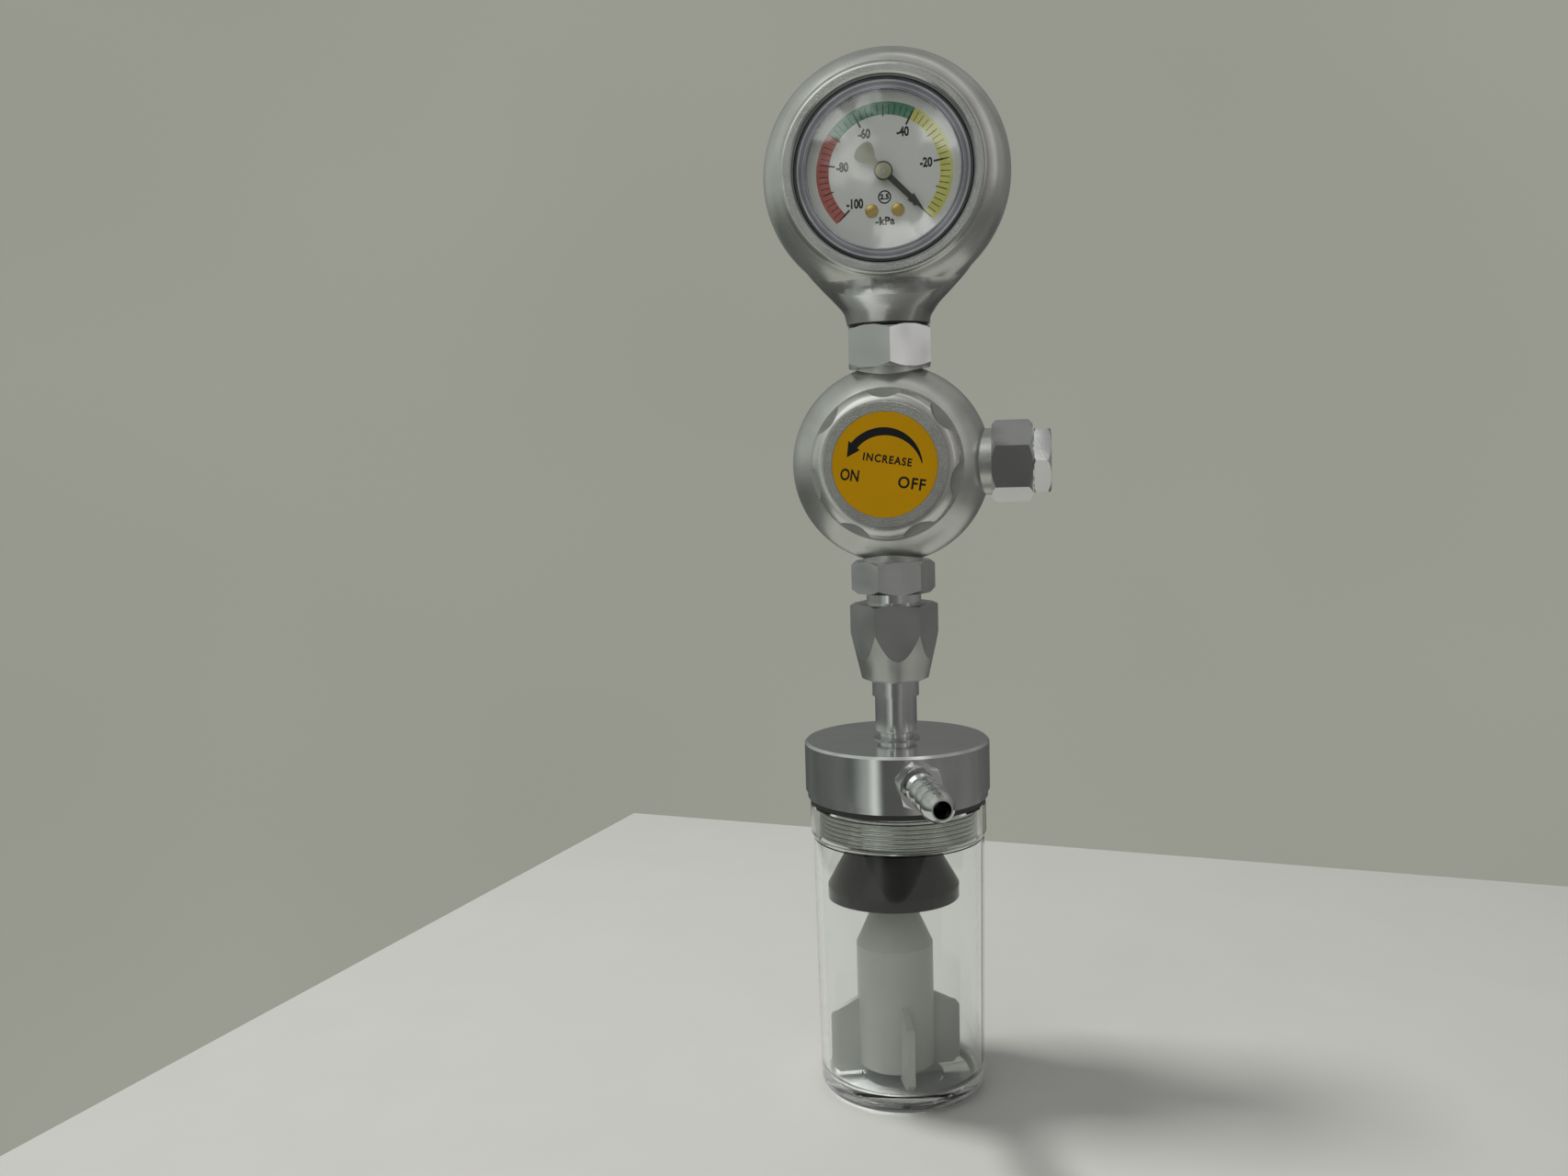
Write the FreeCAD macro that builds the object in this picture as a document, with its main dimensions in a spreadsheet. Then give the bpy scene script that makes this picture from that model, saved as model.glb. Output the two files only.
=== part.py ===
import FreeCAD, Part
import Sketcher
import math
import os

# Vacuum regulator: a clear trap jar with a float, a chromed lid with a hose barb, a ball-shaped valve body
# with a seven-lobed knob, and a Bourdon tube vacuum gauge. Millimetres, +Z up, the knob faces -Y.
# The origin is the middle of the jar's foot. Turned pieces are given as (radius, along) outlines.

Vector = FreeCAD.Vector
Rotation = FreeCAD.Rotation
X_AXIS, Y_AXIS, Z_AXIS = Vector(1, 0, 0), Vector(0, 1, 0), Vector(0, 0, 1)

# Driving dimensions. Heights are above the jar's foot; a depth runs along Y and is negative to the front.
DIMENSIONS = {
    # Jar
    "jar_height": 97.3, "jar_foot_radius": 27.4, "jar_top_radius": 28.3, "jar_corner": 4.0,
    "jar_floor": 5.3, "jar_bore_low": 25.0, "jar_bore_top": 25.9, "jar_bore_corner": 3.0,
    "collar_radius": 29.0, "collar_low": 86.0, "collar_step": 1.3, "collar_bore": 26.5, "rim_edge": 0.6,
    "foot_recess_radius": 14.0, "foot_recess_depth": 0.4,
    # Float and its cap
    "float_offset": -2.0, "float_radius": 12.8, "float_low": 7.0, "float_shoulder": 48.8,
    "float_neck_radius": 4.5, "float_neck_low": 67.1, "float_neck_top": 84.5, "float_edge": 1.5,
    "fin_radius": 22.0, "fin_thick": 2.3, "fin_root_top": 31.5, "fin_rim_top": 26.7, "fin_corner": 2.0,
    "fin_foot": 2.5,
    "fin_azimuth": 17.8, "fin_count": 4,
    "cap_radius": 21.9, "cap_low": 65.5, "cap_band": 4.0, "cap_top": 88.0, "cap_top_radius": 11.2,
    "cap_lip": 1.6, "cap_roof": 2.6, "cap_hub_radius": 8.0, "cap_edge": 1.0,
    # Lid
    "gasket_thick": 2.0, "gasket_radius": 28.8, "gasket_bore": 26.6,
    "lid_radius": 30.45, "lid_lip_radius": 29.8, "lid_lip": 2.4, "lid_height": 18.6, "lid_edge": 0.8,
    "spigot_radius": 25.5, "spigot_bore": 22.8, "spigot_low": 86.0, "lid_roof": 103.0,
    "port_radius": 3.0, "port_boss_radius": 6.0, "port_seat": 97.0, "tube_thread": 5.5, "tube_foot": 110.0,
    # Hose barb
    "barb_height": 109.0, "barb_azimuth": 17.2, "barb_length": 31.0, "barb_bore": 2.75,
    "barb_foot_bore": 2.2, "barb_root": 3.7, "barb_tip": 3.5, "barb_crest": 5.2, "barb_first": 9.4,
    "barb_count": 3, "barb_step": 0.5, "barb_gap": 0.5, "barb_swell": 11.0, "barb_collar": 4.9,
    "barb_end_edge": 0.3, "barb_hex": 13.5, "barb_hex_thick": 5.0, "barb_hex_edge": 0.7, "barb_thread": 4.5,
    "barb_seat": 8.0, "barb_duct": 17.5,
    # Outlet tube, adapter and lower union
    "washer_radius": 7.7, "washer_thick": 0.4, "tube_radius": 6.86, "tube_low": 120.4, "tube_edge": 0.5,
    "tube_collar_low": 132.4, "tube_collar_radius": 7.67, "adapter_low": 137.5, "tube_top": 149.0,
    "adapter_hex": 25.0, "adapter_top": 163.0, "adapter_turn": 9.5, "adapter_foot_radius": 9.0,
    "adapter_cone_radius": 11.0, "adapter_cone_top": 153.4, "adapter_end": 0.9, "adapter_top_edge": 1.4,
    "tail_foot": 152.0,
    "tail_thread": 7.0, "tail_radius": 8.95, "tail_flange_radius": 9.6, "tail_flange_low": 168.7,
    "tail_flange_top": 170.9, "union_low": 166.5, "union_top": 177.0, "union_hex": 24.0, "union_turn": 14.5,
    "nut_bore": 9.65, "nut_slack": 0.1, "nut_chamfer": 1.4, "boss_thread": 9.6, "boss_radius": 10.6,
    "seal_thick": 1.2,
    # Valve body and knob
    "ball_height": 208.3, "ball_radius": 32.1, "ball_lip_radius": 24.2, "ball_lip_depth": -14.5,
    "ball_back_radius": 15.0, "ball_front_arc": 17.26,
    "bonnet_thread": 14.0, "bonnet_foot": -6.5, "bonnet_flange_radius": 17.0, "bonnet_flange_depth": -16.3,
    "bonnet_hub_radius": 7.0, "bonnet_hub_depth": -18.0, "bonnet_seal_width": 1.6, "bonnet_seal_thick": 0.6,
    "packing_middle": -11.1, "packing_groove": 1.8, "packing_section": 0.82,
    "chamber_radius": 9.0, "chamber_back": 4.0, "source_radius": 5.0, "source_back": 14.0, "duct_radius": 3.0,
    "slant_duct_radius": 2.0, "slant_from_x": 24.0, "slant_from_y": 1.0,
    "slant_to_x": 3.5, "slant_to_y": 11.0, "boss_root": 15.5,
    "spindle_radius": 4.0, "spindle_bore": 4.05, "spindle_spigot": 2.6, "spindle_foot": -1.45,
    "spindle_socket": 2.45, "spindle_socket_end": -8.5, "spindle_tap_end": -12.5,
    "disc_stem": 2.4, "disc_stem_end": -8.0, "disc_radius": 5.6, "disc_shoulder": -1.4, "disc_rim": 0.6,
    "pad_radius": 4.6, "pad_back": 0.6,
    "seat_depth": 2.6, "seat_bore": 2.5, "seat_lip_radius": 3.5, "seat_flange_radius": 7.0,
    "seat_flange_depth": 3.0, "seat_end": 9.0,
    "knob_radius": 23.5, "knob_back": -15.0, "knob_front": -22.8, "knob_face": -22.2,
    "knob_ring_radius": 19.2,
    "knob_skirt_depth": -18.4, "knob_shoulder": -18.6, "knob_skirt_bore": 20.0, "label_radius": 16.4,
    "label_thick": 0.4, "label_gap": 0.2, "lobe_count": 7, "lobe_cut_radius": 9.0, "lobe_cut_reach": 20.7,
    "knob_dome": 4.4, "knob_edge": 0.5, "knob_screw_head": 3.0, "knob_screw_gap": 0.1,
    "knob_screw_seat": -20.4, "knob_screw_radius": 1.25, "knob_screw_end": -13.0,
    # Side inlet
    "side_boss_end": 38.0, "side_seal_thick": 0.9, "side_nut_low": 32.4, "side_nut_top": 45.3,
    "side_nut_hex": 23.0, "side_nut_turn": 8.0, "side_flange_top": 40.7, "nipple_shank": 8.05,
    "nipple_low": 45.7, "nipple_end": 51.0, "nipple_hex": 20.0, "nipple_edge": 2.0, "nipple_dome": 2.4,
    "nipple_back_edge": 0.6, "inlet_radius": 5.9, "inlet_foot": 41.0,
    # Gauge fitting
    "top_boss_low": 239.1, "top_boss_end": 246.3, "gauge_nut_top": 252.3, "gauge_nut_hex": 26.0,
    "gauge_nut_turn": 36.5, "stem_radius": 6.5, "stem_bore": 2.0, "stem_flange_top": 250.2,
    "gauge_gasket_radius": 12.6, "gauge_gasket_thick": 0.7,
    # Gauge housing and window
    "dial_height": 300.0, "housing_radius": 39.5, "housing_back": 17.0, "housing_back_radius": 25.0,
    "housing_front": -11.5, "lip_radius": 32.6, "lip_edge": 1.4, "lip_land": 0.6, "front_swell": 10.5,
    "back_swell": 14.0, "shoulder_inward": 5.5, "shoulder_back": 12.0,
    "window_radius": 28.9, "window_edge": 0.6,
    "dial_seat": -3.2, "movement_bore": 27.0, "movement_back": 12.5, "neck_radius": 13.3, "neck_blend": 6.0,
    "lens_radius": 28.4, "lens_step_radius": 25.2, "lens_skirt_radius": 24.6, "lens_bevel": 0.8,
    "lens_edge": 0.3,
    "lens_back": -7.2, "lens_step": -9.4, "lens_front": -10.6, "lens_slack": 0.02, "lens_seal_front": -9.3,
    "dial_radius": 28.0, "dial_thick": 0.8, "dial_hole": 1.5, "dial_screw_across": 4.15,
    "dial_screw_below": 11.8, "dial_screw_head": 2.0, "dial_screw_head_thick": 0.7, "dial_screw_radius": 1.0,
    "dial_post_radius": 1.9,
    # Pointer and movement
    "pointer_length": 17.0, "pointer_tail": 10.0, "pointer_back": -5.9, "pointer_thick": 0.5,
    "pointer_hub": 2.9, "pointer_hub_thick": 1.0, "pointer_rest": 45.0, "pointer_root": 1.5,
    "spear_root_half": 0.8, "spear_waist_half": 0.55, "spear_waist": 4.6, "spear_half": 1.1,
    "spear_head": 4.2, "spade_root_half": 0.9, "spade_neck_half": 1.2, "spade_neck": 0.42, "spade_half": 3.5,
    "spade_wide": 0.52,
    "spade_end_half": 0.6, "spade_swell": 6.0, "arbor_radius": 0.8, "arbor_bore": 0.85,
    "tooth_module": 0.4, "pinion_teeth": 10, "sector_teeth": 60, "sector_cut_teeth": 12,
    "pinion_front": 1.0, "pinion_back": 4.6, "sector_front": 1.8, "sector_thick": 1.0,
    "sector_hub": 2.4, "sector_hub_front": 1.2, "sector_root": 1.6, "arm_root_half": 1.8, "arm_half": 1.3,
    "arm_end": 1.4, "tail_arm": 7.0, "tail_arm_angle": -20.0, "pin_radius": 0.6,
    "link_front": 3.1, "link_thick": 0.8, "link_half": 1.3, "link_end": 1.4, "link_hole": 0.65,
    "link_reach": 18.0, "front_plate_face": -0.6, "back_plate_face": 5.4, "plate_thick": 1.0,
    "pillar_radius": 1.2, "coil_radius": 21.0, "coil_width": 8.0, "coil_thick": 2.6, "coil_wall": 0.35,
    "coil_middle": 2.0, "coil_start": 245.0, "coil_end": -30.0, "coil_plug": 6.0, "coil_tip": -28.0,
    "lug_front": 4.2, "lug_thick": 0.8, "lug_length": 3.4, "lug_height": 2.6, "lug_out": 20.2,
    "block_half": 7.0, "block_below": 25.5, "block_top": 22.0, "block_step": 1.0,
    "ear_near": 6.9, "ear_far": 12.4, "ear_top": 16.4, "ear_low": 23.5, "plate_half": 6.6, "plate_top": 7.5,
    "front_plate_below": 21.5,
}

# The neck's level sections: height above its foot, then how much wider, shallower and further back.
NECK_SECTIONS = [
    (0.0, 0.01, 0.0, 0.0), (2.0, 0.25, 0.3, 0.0), (4.0, 1.2, 0.9, 0.1), (6.0, 2.7, 1.6, 0.4),
    (8.5, 5.0, 2.5, 0.9), (11.5, 7.9, 3.7, 1.4), (15.0, 11.1, 4.9, 1.9), (18.5, 13.7, 6.3, 2.2),
    (22.5, 14.2, 8.3, 2.5),
]

# Where the three pillars stand between the plates, from the dial's centre.
PILLAR_PLACES = [(-4.6, 5.4), (4.6, 5.4), (-4.4, -19.6)]


class Size:
    """A number together with the sheet expression that gives it."""

    def __init__(self, value, text):
        self.value = float(value)
        self.text = text

    def joined(self, sign, other, value):
        return Size(value, "(%s %s %s)" % (self.text, sign, other.text))

    def __add__(self, other):
        other = as_size(other)
        return self.joined("+", other, self.value + other.value)

    def __radd__(self, other):
        return as_size(other) + self

    def __sub__(self, other):
        other = as_size(other)
        return self.joined("-", other, self.value - other.value)

    def __rsub__(self, other):
        return as_size(other) - self

    def __mul__(self, other):
        other = as_size(other)
        return self.joined("*", other, self.value * other.value)

    def __rmul__(self, other):
        return as_size(other) * self

    def __truediv__(self, other):
        other = as_size(other)
        return self.joined("/", other, self.value / other.value)

    def __neg__(self):
        return as_size(0) - self


def as_size(number):
    return number if isinstance(number, Size) else Size(number, "%.6g" % number)


def root(number):
    return Size(math.sqrt(number.value), "sqrt(%s)" % number.text)


def cosine(degrees):
    return Size(math.cos(math.radians(degrees.value)), "cos(%s * 1 deg)" % degrees.text)


def sine(degrees):
    return Size(math.sin(math.radians(degrees.value)), "sin(%s * 1 deg)" % degrees.text)


document = FreeCAD.newDocument("VacuumRegulator")
sheet = document.addObject("Spreadsheet::Sheet", "Sizes")
for row, (alias, number) in enumerate(DIMENSIONS.items(), start=1):
    sheet.set("A%d" % row, alias.replace("_", " "))
    sheet.set("B%d" % row, str(number))
    sheet.setAlias("B%d" % row, alias)
document.recompute()


class Sheet:
    """Reads a driving dimension by name, as a Size bound to its cell."""

    def __getattr__(self, alias):
        return Size(DIMENSIONS[alias], "Sizes." + alias)


size = Sheet()


def bind(item, **expressions):
    """Ties properties of an object to the sheet; a double underscore stands for a dot."""
    for name, number in expressions.items():
        item.setExpression(name.replace("__", "."), as_size(number).text)


def new_body(name):
    return document.addObject("PartDesign::Body", name)


def origin_feature(body, role):
    return next(item for item in body.Origin.OriginFeatures if item.Role == role)


def new_sketch(body, name, plane):
    sketch = body.newObject("Sketcher::SketchObject", name)
    sketch.AttachmentSupport = [(origin_feature(body, plane), "")]
    sketch.MapMode = "FlatFace"
    return sketch


def arc_middle(start, end, radius):
    """The middle of an arc that bulges to the right of its travel, or to the left for a negative radius."""
    chord = Vector(end.x - start.x, end.y - start.y, 0)
    half = chord.Length / 2
    rise = abs(radius) - math.sqrt(max(radius * radius - half * half, 0.0))
    right = Vector(chord.y, -chord.x, 0).normalize()
    return (start + end) * 0.5 + right * math.copysign(rise, radius)


def draw_outline(sketch, outline, swapped=False):
    """Draws a closed outline and ties each corner and arc radius to the sheet.

    A corner is (first, second), or (first, second, radius) where an arc leads to it."""
    corners = [tuple(as_size(number) for number in corner) for corner in outline]

    def placed(point):
        return Vector(point.y, point.x, 0) if swapped else point

    points = [Vector(corner[0].value, corner[1].value, 0) for corner in corners]
    count = len(points)
    edges, starts, ends = [], [], []
    for index in range(count):
        start, end = points[index], points[(index + 1) % count]
        arc = corners[(index + 1) % count][2:]
        if arc:
            middle = arc_middle(start, end, arc[0].value)
            geometry = Part.Arc(placed(start), placed(middle), placed(end))
        else:
            geometry = Part.LineSegment(placed(start), placed(end))
        edge = sketch.addGeometry(geometry, False)
        forward = (sketch.getPoint(edge, 1) - placed(start)).Length < 1e-6
        edges.append(edge)
        starts.append(1 if forward else 2)
        ends.append(2 if forward else 1)
        if arc:
            number = sketch.addConstraint(Sketcher.Constraint("Radius", edge, abs(arc[0].value)))
            sketch.setExpression("Constraints[%d]" % number, "abs(%s)" % arc[0].text)
    for index in range(count):
        after = (index + 1) % count
        sketch.addConstraint(
            Sketcher.Constraint("Coincident", edges[index], ends[index], edges[after], starts[after]))
        across, up = corners[index][:2]
        if swapped:
            across, up = up, across
        for kind, number, axis in (("DistanceX", across, -2), ("DistanceY", up, -1)):
            if abs(number.value) < 1e-9:
                sketch.addConstraint(Sketcher.Constraint("PointOnObject", edges[index], starts[index], axis))
                continue
            place = sketch.addConstraint(
                Sketcher.Constraint(kind, -1, 1, edges[index], starts[index], number.value))
            sketch.setExpression("Constraints[%d]" % place, number.text)


def turned(name, axis, outline, height=None):
    """A body turned about an axis, from corners given as (radius, along)."""
    body = new_body(name)
    sketch = new_sketch(body, name + "Outline", "YZ_Plane" if axis == "Y" else "XZ_Plane")
    draw_outline(sketch, outline, swapped=axis != "Z")
    revolution = body.newObject("PartDesign::Revolution", name + "Turned")
    revolution.Profile = sketch
    revolution.ReferenceAxis = (sketch, ["V_Axis" if axis == "Z" else "H_Axis"])
    revolution.Angle = 360
    if height is not None:
        bind(body, Placement__Base__z=height)
    return body


def padded(body, name, plane, outline, length, offset=None):
    """A pad of an outline, centred on its plane, or starting at an offset from it."""
    sketch = new_sketch(body, name + "Outline", plane)
    draw_outline(sketch, outline)
    pad = body.newObject("PartDesign::Pad", name + "Pad")
    pad.Profile = sketch
    bind(pad, Length=length)
    if offset is None:
        pad.Midplane = True
    else:
        bind(sketch, AttachmentOffset__Base__z=offset)
    return pad


def patterned(body, name, feature, axis, count, angle=360.0):
    pattern = body.newObject("PartDesign::PolarPattern", name)
    pattern.Originals = [feature]
    pattern.Axis = (origin_feature(body, axis), [""])
    pattern.Angle = angle
    pattern.Occurrences = int(count)
    body.Tip = pattern
    return pattern


def hexagon(name, across, low, length, axis="Z", turn=0.0, height=None):
    prism = document.addObject("Part::Prism", name + "Hexagon")
    prism.Polygon = 6
    bind(prism, Circumradius=across / math.sqrt(3), Height=length)
    facing = Rotation(Y_AXIS, 90) if axis == "X" else Rotation()
    prism.Placement = FreeCAD.Placement(Vector(), facing * Rotation(Z_AXIS, turn))
    if axis == "X":
        bind(prism, Placement__Base__x=low, Placement__Base__z=height)
    else:
        bind(prism, Placement__Base__z=low)
    return prism


def cylinder(name, radius, length, base, direction=Z_AXIS):
    rod = document.addObject("Part::Cylinder", name)
    bind(rod, Radius=radius, Height=length)
    rod.Placement = FreeCAD.Placement(Vector(), Rotation(Z_AXIS, direction))
    bind(rod, Placement__Base__x=base[0], Placement__Base__y=base[1], Placement__Base__z=base[2])
    return rod


def common(name, first, second):
    piece = document.addObject("Part::Common", name)
    piece.Base, piece.Tool = first, second
    return piece


def fused(name, *shapes):
    piece = document.addObject("Part::MultiFuse", name)
    piece.Shapes = list(shapes)
    piece.Refine = True
    return piece


def cut(name, base, *tools):
    piece = document.addObject("Part::Cut", name)
    piece.Base = base
    piece.Tool = tools[0] if len(tools) == 1 else fused(name + "Tools", *tools)
    piece.Refine = True
    return piece


def ring(name, axis, inner, outer, low, high, height=None):
    return turned(name, axis, [(inner, low), (outer, low), (outer, high), (inner, high)], height)


# Trap jar, float and lid


def make_jar():
    """A cup on a thick floor, with a shallow recess under its middle."""
    return turned("Jar", "Z", [
        (0, size.foot_recess_depth),
        (size.foot_recess_radius - size.foot_recess_depth, size.foot_recess_depth),
        (size.foot_recess_radius, 0),
        (size.jar_foot_radius - size.jar_corner, 0),
        (size.jar_foot_radius, size.jar_corner, size.jar_corner),
        (size.jar_top_radius, size.collar_low),
        (size.collar_radius, size.collar_low + size.collar_step),
        (size.collar_radius, size.jar_height - size.rim_edge),
        (size.collar_radius - size.rim_edge, size.jar_height),
        (size.collar_bore, size.jar_height),
        (size.collar_bore, size.collar_low - size.rim_edge),
        (size.jar_bore_top, size.collar_low - 2 * size.rim_edge),
        (size.jar_bore_low, size.jar_floor + size.jar_bore_corner),
        (size.jar_bore_low - size.jar_bore_corner, size.jar_floor, -size.jar_bore_corner),
        (0, size.jar_floor),
    ])


def make_float():
    body = turned("Float", "Z", [
        (0, size.float_low),
        (size.float_radius - size.float_edge, size.float_low),
        (size.float_radius, size.float_low + size.float_edge, size.float_edge),
        (size.float_radius, size.float_shoulder),
        (size.float_neck_radius, size.float_neck_low),
        (size.float_neck_radius, size.float_neck_top),
        (0, size.float_neck_top),
    ])
    fin = padded(body, "Fin", "XZ_Plane", [
        (size.float_radius - 2, size.jar_floor),
        (size.fin_radius - size.fin_foot, size.jar_floor),
        (size.fin_radius, size.jar_floor + size.fin_foot),
        (size.fin_radius, size.fin_rim_top - size.fin_corner),
        (size.fin_radius - size.fin_corner, size.fin_rim_top, size.fin_corner),
        (size.float_radius - 2, size.fin_root_top),
    ], size.fin_thick)
    patterned(body, "Fins", fin, "Z_Axis", size.fin_count.value)
    body.Placement = FreeCAD.Placement(Vector(), Rotation(Z_AXIS, size.fin_azimuth.value))
    bind(body, Placement__Base__x=size.float_offset)
    return body


def make_float_cap():
    roof_low = size.cap_low + size.cap_band - size.cap_lip / 2
    body = turned("FloatCap", "Z", [
        (size.cap_hub_radius, size.float_neck_low + 1),
        (size.cap_hub_radius, roof_low + size.cap_roof),
        (size.cap_radius - size.cap_lip, roof_low),
        (size.cap_radius - size.cap_lip, size.cap_low),
        (size.cap_radius, size.cap_low),
        (size.cap_radius, size.cap_low + size.cap_band),
        (size.cap_top_radius + size.cap_edge / 2, size.cap_top - size.cap_edge),
        (size.cap_top_radius - size.cap_edge / 2, size.cap_top, size.cap_edge),
        (0, size.cap_top),
        (0, size.float_neck_top),
        (size.float_neck_radius, size.float_neck_top),
        (size.float_neck_radius, size.float_neck_low + 1),
    ])
    bind(body, Placement__Base__x=size.float_offset)
    return body


def make_jar_gasket():
    return ring("JarGasket", "Z", size.gasket_bore, size.gasket_radius,
                size.jar_height, size.jar_height + size.gasket_thick)


lid_low = size.jar_height + size.gasket_thick
lid_top = lid_low + size.lid_height
barb_direction = Vector(math.sin(math.radians(size.barb_azimuth.value)),
                        -math.cos(math.radians(size.barb_azimuth.value)), 0)


def along_barb(distance):
    """A place on the barb's axis, at a distance from the lid's axis."""
    return (distance * sine(size.barb_azimuth), -distance * cosine(size.barb_azimuth), size.barb_height)


def make_lid():
    blank = turned("LidBlank", "Z", [
        (size.spigot_bore, size.spigot_low),
        (size.spigot_radius - size.lid_edge, size.spigot_low),
        (size.spigot_radius, size.spigot_low + size.lid_edge),
        (size.spigot_radius, lid_low),
        (size.lid_lip_radius, lid_low),
        (size.lid_lip_radius, lid_low + size.lid_lip),
        (size.lid_radius, lid_low + size.lid_lip),
        (size.lid_radius, lid_top - size.lid_edge),
        (size.lid_radius - size.lid_edge, lid_top),
        (0, lid_top),
        (0, size.port_seat),
        (size.port_boss_radius - size.lid_edge, size.port_seat),
        (size.port_boss_radius, size.port_seat + size.lid_edge),
        (size.port_boss_radius, size.lid_roof),
        (size.spigot_bore, size.lid_roof),
    ])
    port = cylinder("LidPort", size.port_radius, lid_top - size.port_seat, (0, 0, size.port_seat))
    socket = cylinder("LidSocket", size.tube_thread, lid_top - size.tube_foot, (0, 0, size.tube_foot))
    barb_thread = cylinder("LidBarbThread", size.barb_thread, size.barb_seat,
                           along_barb(size.lid_radius - size.barb_seat), barb_direction)
    duct = cylinder("LidDuct", size.barb_foot_bore, size.lid_radius - size.barb_duct,
                    along_barb(size.barb_duct), barb_direction)
    x, y, z = along_barb(size.barb_duct)
    drop = cylinder("LidDrop", size.barb_foot_bore, size.barb_height - size.lid_roof, (x, y, size.lid_roof))
    return cut("Lid", blank, port, socket, barb_thread, duct, drop)


def make_hose_barb():
    """Turned along Z from the lid's surface at 0, then laid along its own direction."""
    outline = [
        (size.barb_bore, 0),
        (size.barb_foot_bore, 0),
        (size.barb_foot_bore, -size.barb_seat),
        (size.barb_thread, -size.barb_seat),
        (size.barb_thread, 0),
        (size.barb_collar, 0),
        (size.barb_collar, size.barb_hex_thick),
        (size.barb_root, size.barb_hex_thick + size.barb_collar - size.barb_root),
    ]
    pitch = (size.barb_length - size.barb_first) / size.barb_count
    for index in range(int(size.barb_count.value)):
        start = size.barb_first + index * pitch
        foot = size.barb_tip if index == size.barb_count.value - 1 else size.barb_root
        outline += [(size.barb_root, start), (size.barb_crest, start + size.barb_step),
                    (foot, start + pitch - size.barb_gap, size.barb_swell)]
    outline += [(size.barb_tip - size.barb_end_edge, size.barb_length), (size.barb_bore, size.barb_length)]
    shank = turned("BarbShank", "Z", outline)
    corner = size.barb_hex / math.sqrt(3) + size.nut_slack
    hex_blank = turned("BarbHexBlank", "Z", [
        (size.barb_bore, 0),
        (size.barb_hex / 2, 0),
        (corner, size.barb_hex_edge),
        (corner, size.barb_hex_thick - size.barb_hex_edge),
        (size.barb_hex / 2, size.barb_hex_thick),
        (size.barb_bore, size.barb_hex_thick),
    ])
    foot = common("BarbFoot", hexagon("Barb", size.barb_hex, 0, size.barb_hex_thick), hex_blank)
    piece = fused("HoseBarb", shank, foot)
    piece.Placement = FreeCAD.Placement(Vector(), Rotation(Z_AXIS, barb_direction))
    x, y, z = along_barb(size.lid_radius)
    bind(piece, Placement__Base__x=x, Placement__Base__y=y, Placement__Base__z=z)
    return piece


# Outlet tube, adapter and union


def make_tube_washer():
    return ring("TubeWasher", "Z", size.tube_thread, size.washer_radius, lid_top, lid_top + size.washer_thick)


def make_outlet_tube():
    return turned("OutletTube", "Z", [
        (size.port_radius, size.tube_foot),
        (size.tube_thread, size.tube_foot),
        (size.tube_thread, size.tube_low),
        (size.tube_radius - size.tube_edge, size.tube_low),
        (size.tube_radius, size.tube_low + size.tube_edge, size.tube_edge),
        (size.tube_radius, size.tube_collar_low),
        (size.tube_collar_radius, size.tube_collar_low),
        (size.tube_collar_radius, size.adapter_low),
        (size.tube_thread, size.adapter_low),
        (size.tube_thread, size.tube_top),
        (size.port_radius, size.tube_top),
    ])


def make_hex_adapter():
    across = size.adapter_hex / math.sqrt(3)
    cone_low = size.adapter_low + size.adapter_end
    beyond = (across - size.adapter_cone_radius) / 5
    blank = turned("AdapterBlank", "Z", [
        (size.tube_thread, size.adapter_low),
        (size.adapter_foot_radius, size.adapter_low),
        (size.adapter_cone_radius, cone_low),
        (across + beyond, size.adapter_cone_top + (size.adapter_cone_top - cone_low) / 5),
        (across + beyond, size.adapter_top - size.adapter_end),
        (across - size.adapter_top_edge, size.adapter_top),
        (size.tail_thread, size.adapter_top),
        (size.tail_thread, size.tail_foot),
        (size.port_radius, size.tail_foot),
        (size.port_radius, size.tube_top),
        (size.tube_thread, size.tube_top),
    ])
    prism = hexagon("Adapter", size.adapter_hex, size.adapter_low, size.adapter_top - size.adapter_low,
                    turn=size.adapter_turn.value)
    return common("HexAdapter", prism, blank)


def make_union_tailpiece():
    return turned("UnionTailpiece", "Z", [
        (size.port_radius, size.tail_foot),
        (size.tail_thread, size.tail_foot),
        (size.tail_thread, size.adapter_top),
        (size.tail_radius, size.adapter_top),
        (size.tail_radius, size.tail_flange_low),
        (size.tail_flange_radius, size.tail_flange_low),
        (size.tail_flange_radius, size.tail_flange_top),
        (size.port_radius, size.tail_flange_top),
    ])


def make_union_seal():
    return ring("UnionSeal", "Z", size.port_radius, size.boss_thread,
                size.tail_flange_top, size.tail_flange_top + size.seal_thick)


def nut_outline(across, low, high, neck_bore, shoulder, chamfer, neck_at_top=False):
    """A nut's section: chamfered at both ends, threaded bore, and a narrower neck at one end."""
    face = across / 2 + size.nut_slack
    corner = across / math.sqrt(3) + size.nut_slack
    outside = [(face, low), (corner, low + chamfer), (corner, high - chamfer), (face, high)]
    if neck_at_top:
        return [(size.nut_bore, low)] + outside + [(neck_bore, high), (neck_bore, shoulder),
                                                   (size.nut_bore, shoulder)]
    return [(neck_bore, low)] + outside + [(size.nut_bore, high), (size.nut_bore, shoulder),
                                           (neck_bore, shoulder)]


def make_lower_union_nut():
    blank = turned("LowerNutBlank", "Z", nut_outline(
        size.union_hex, size.union_low, size.union_top, size.tail_radius + size.nut_slack,
        size.tail_flange_low, size.nut_chamfer))
    prism = hexagon("LowerNut", size.union_hex, size.union_low, size.union_top - size.union_low,
                    turn=size.union_turn.value)
    return common("LowerUnionNut", prism, blank)


# Valve body with its spindle


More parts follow.
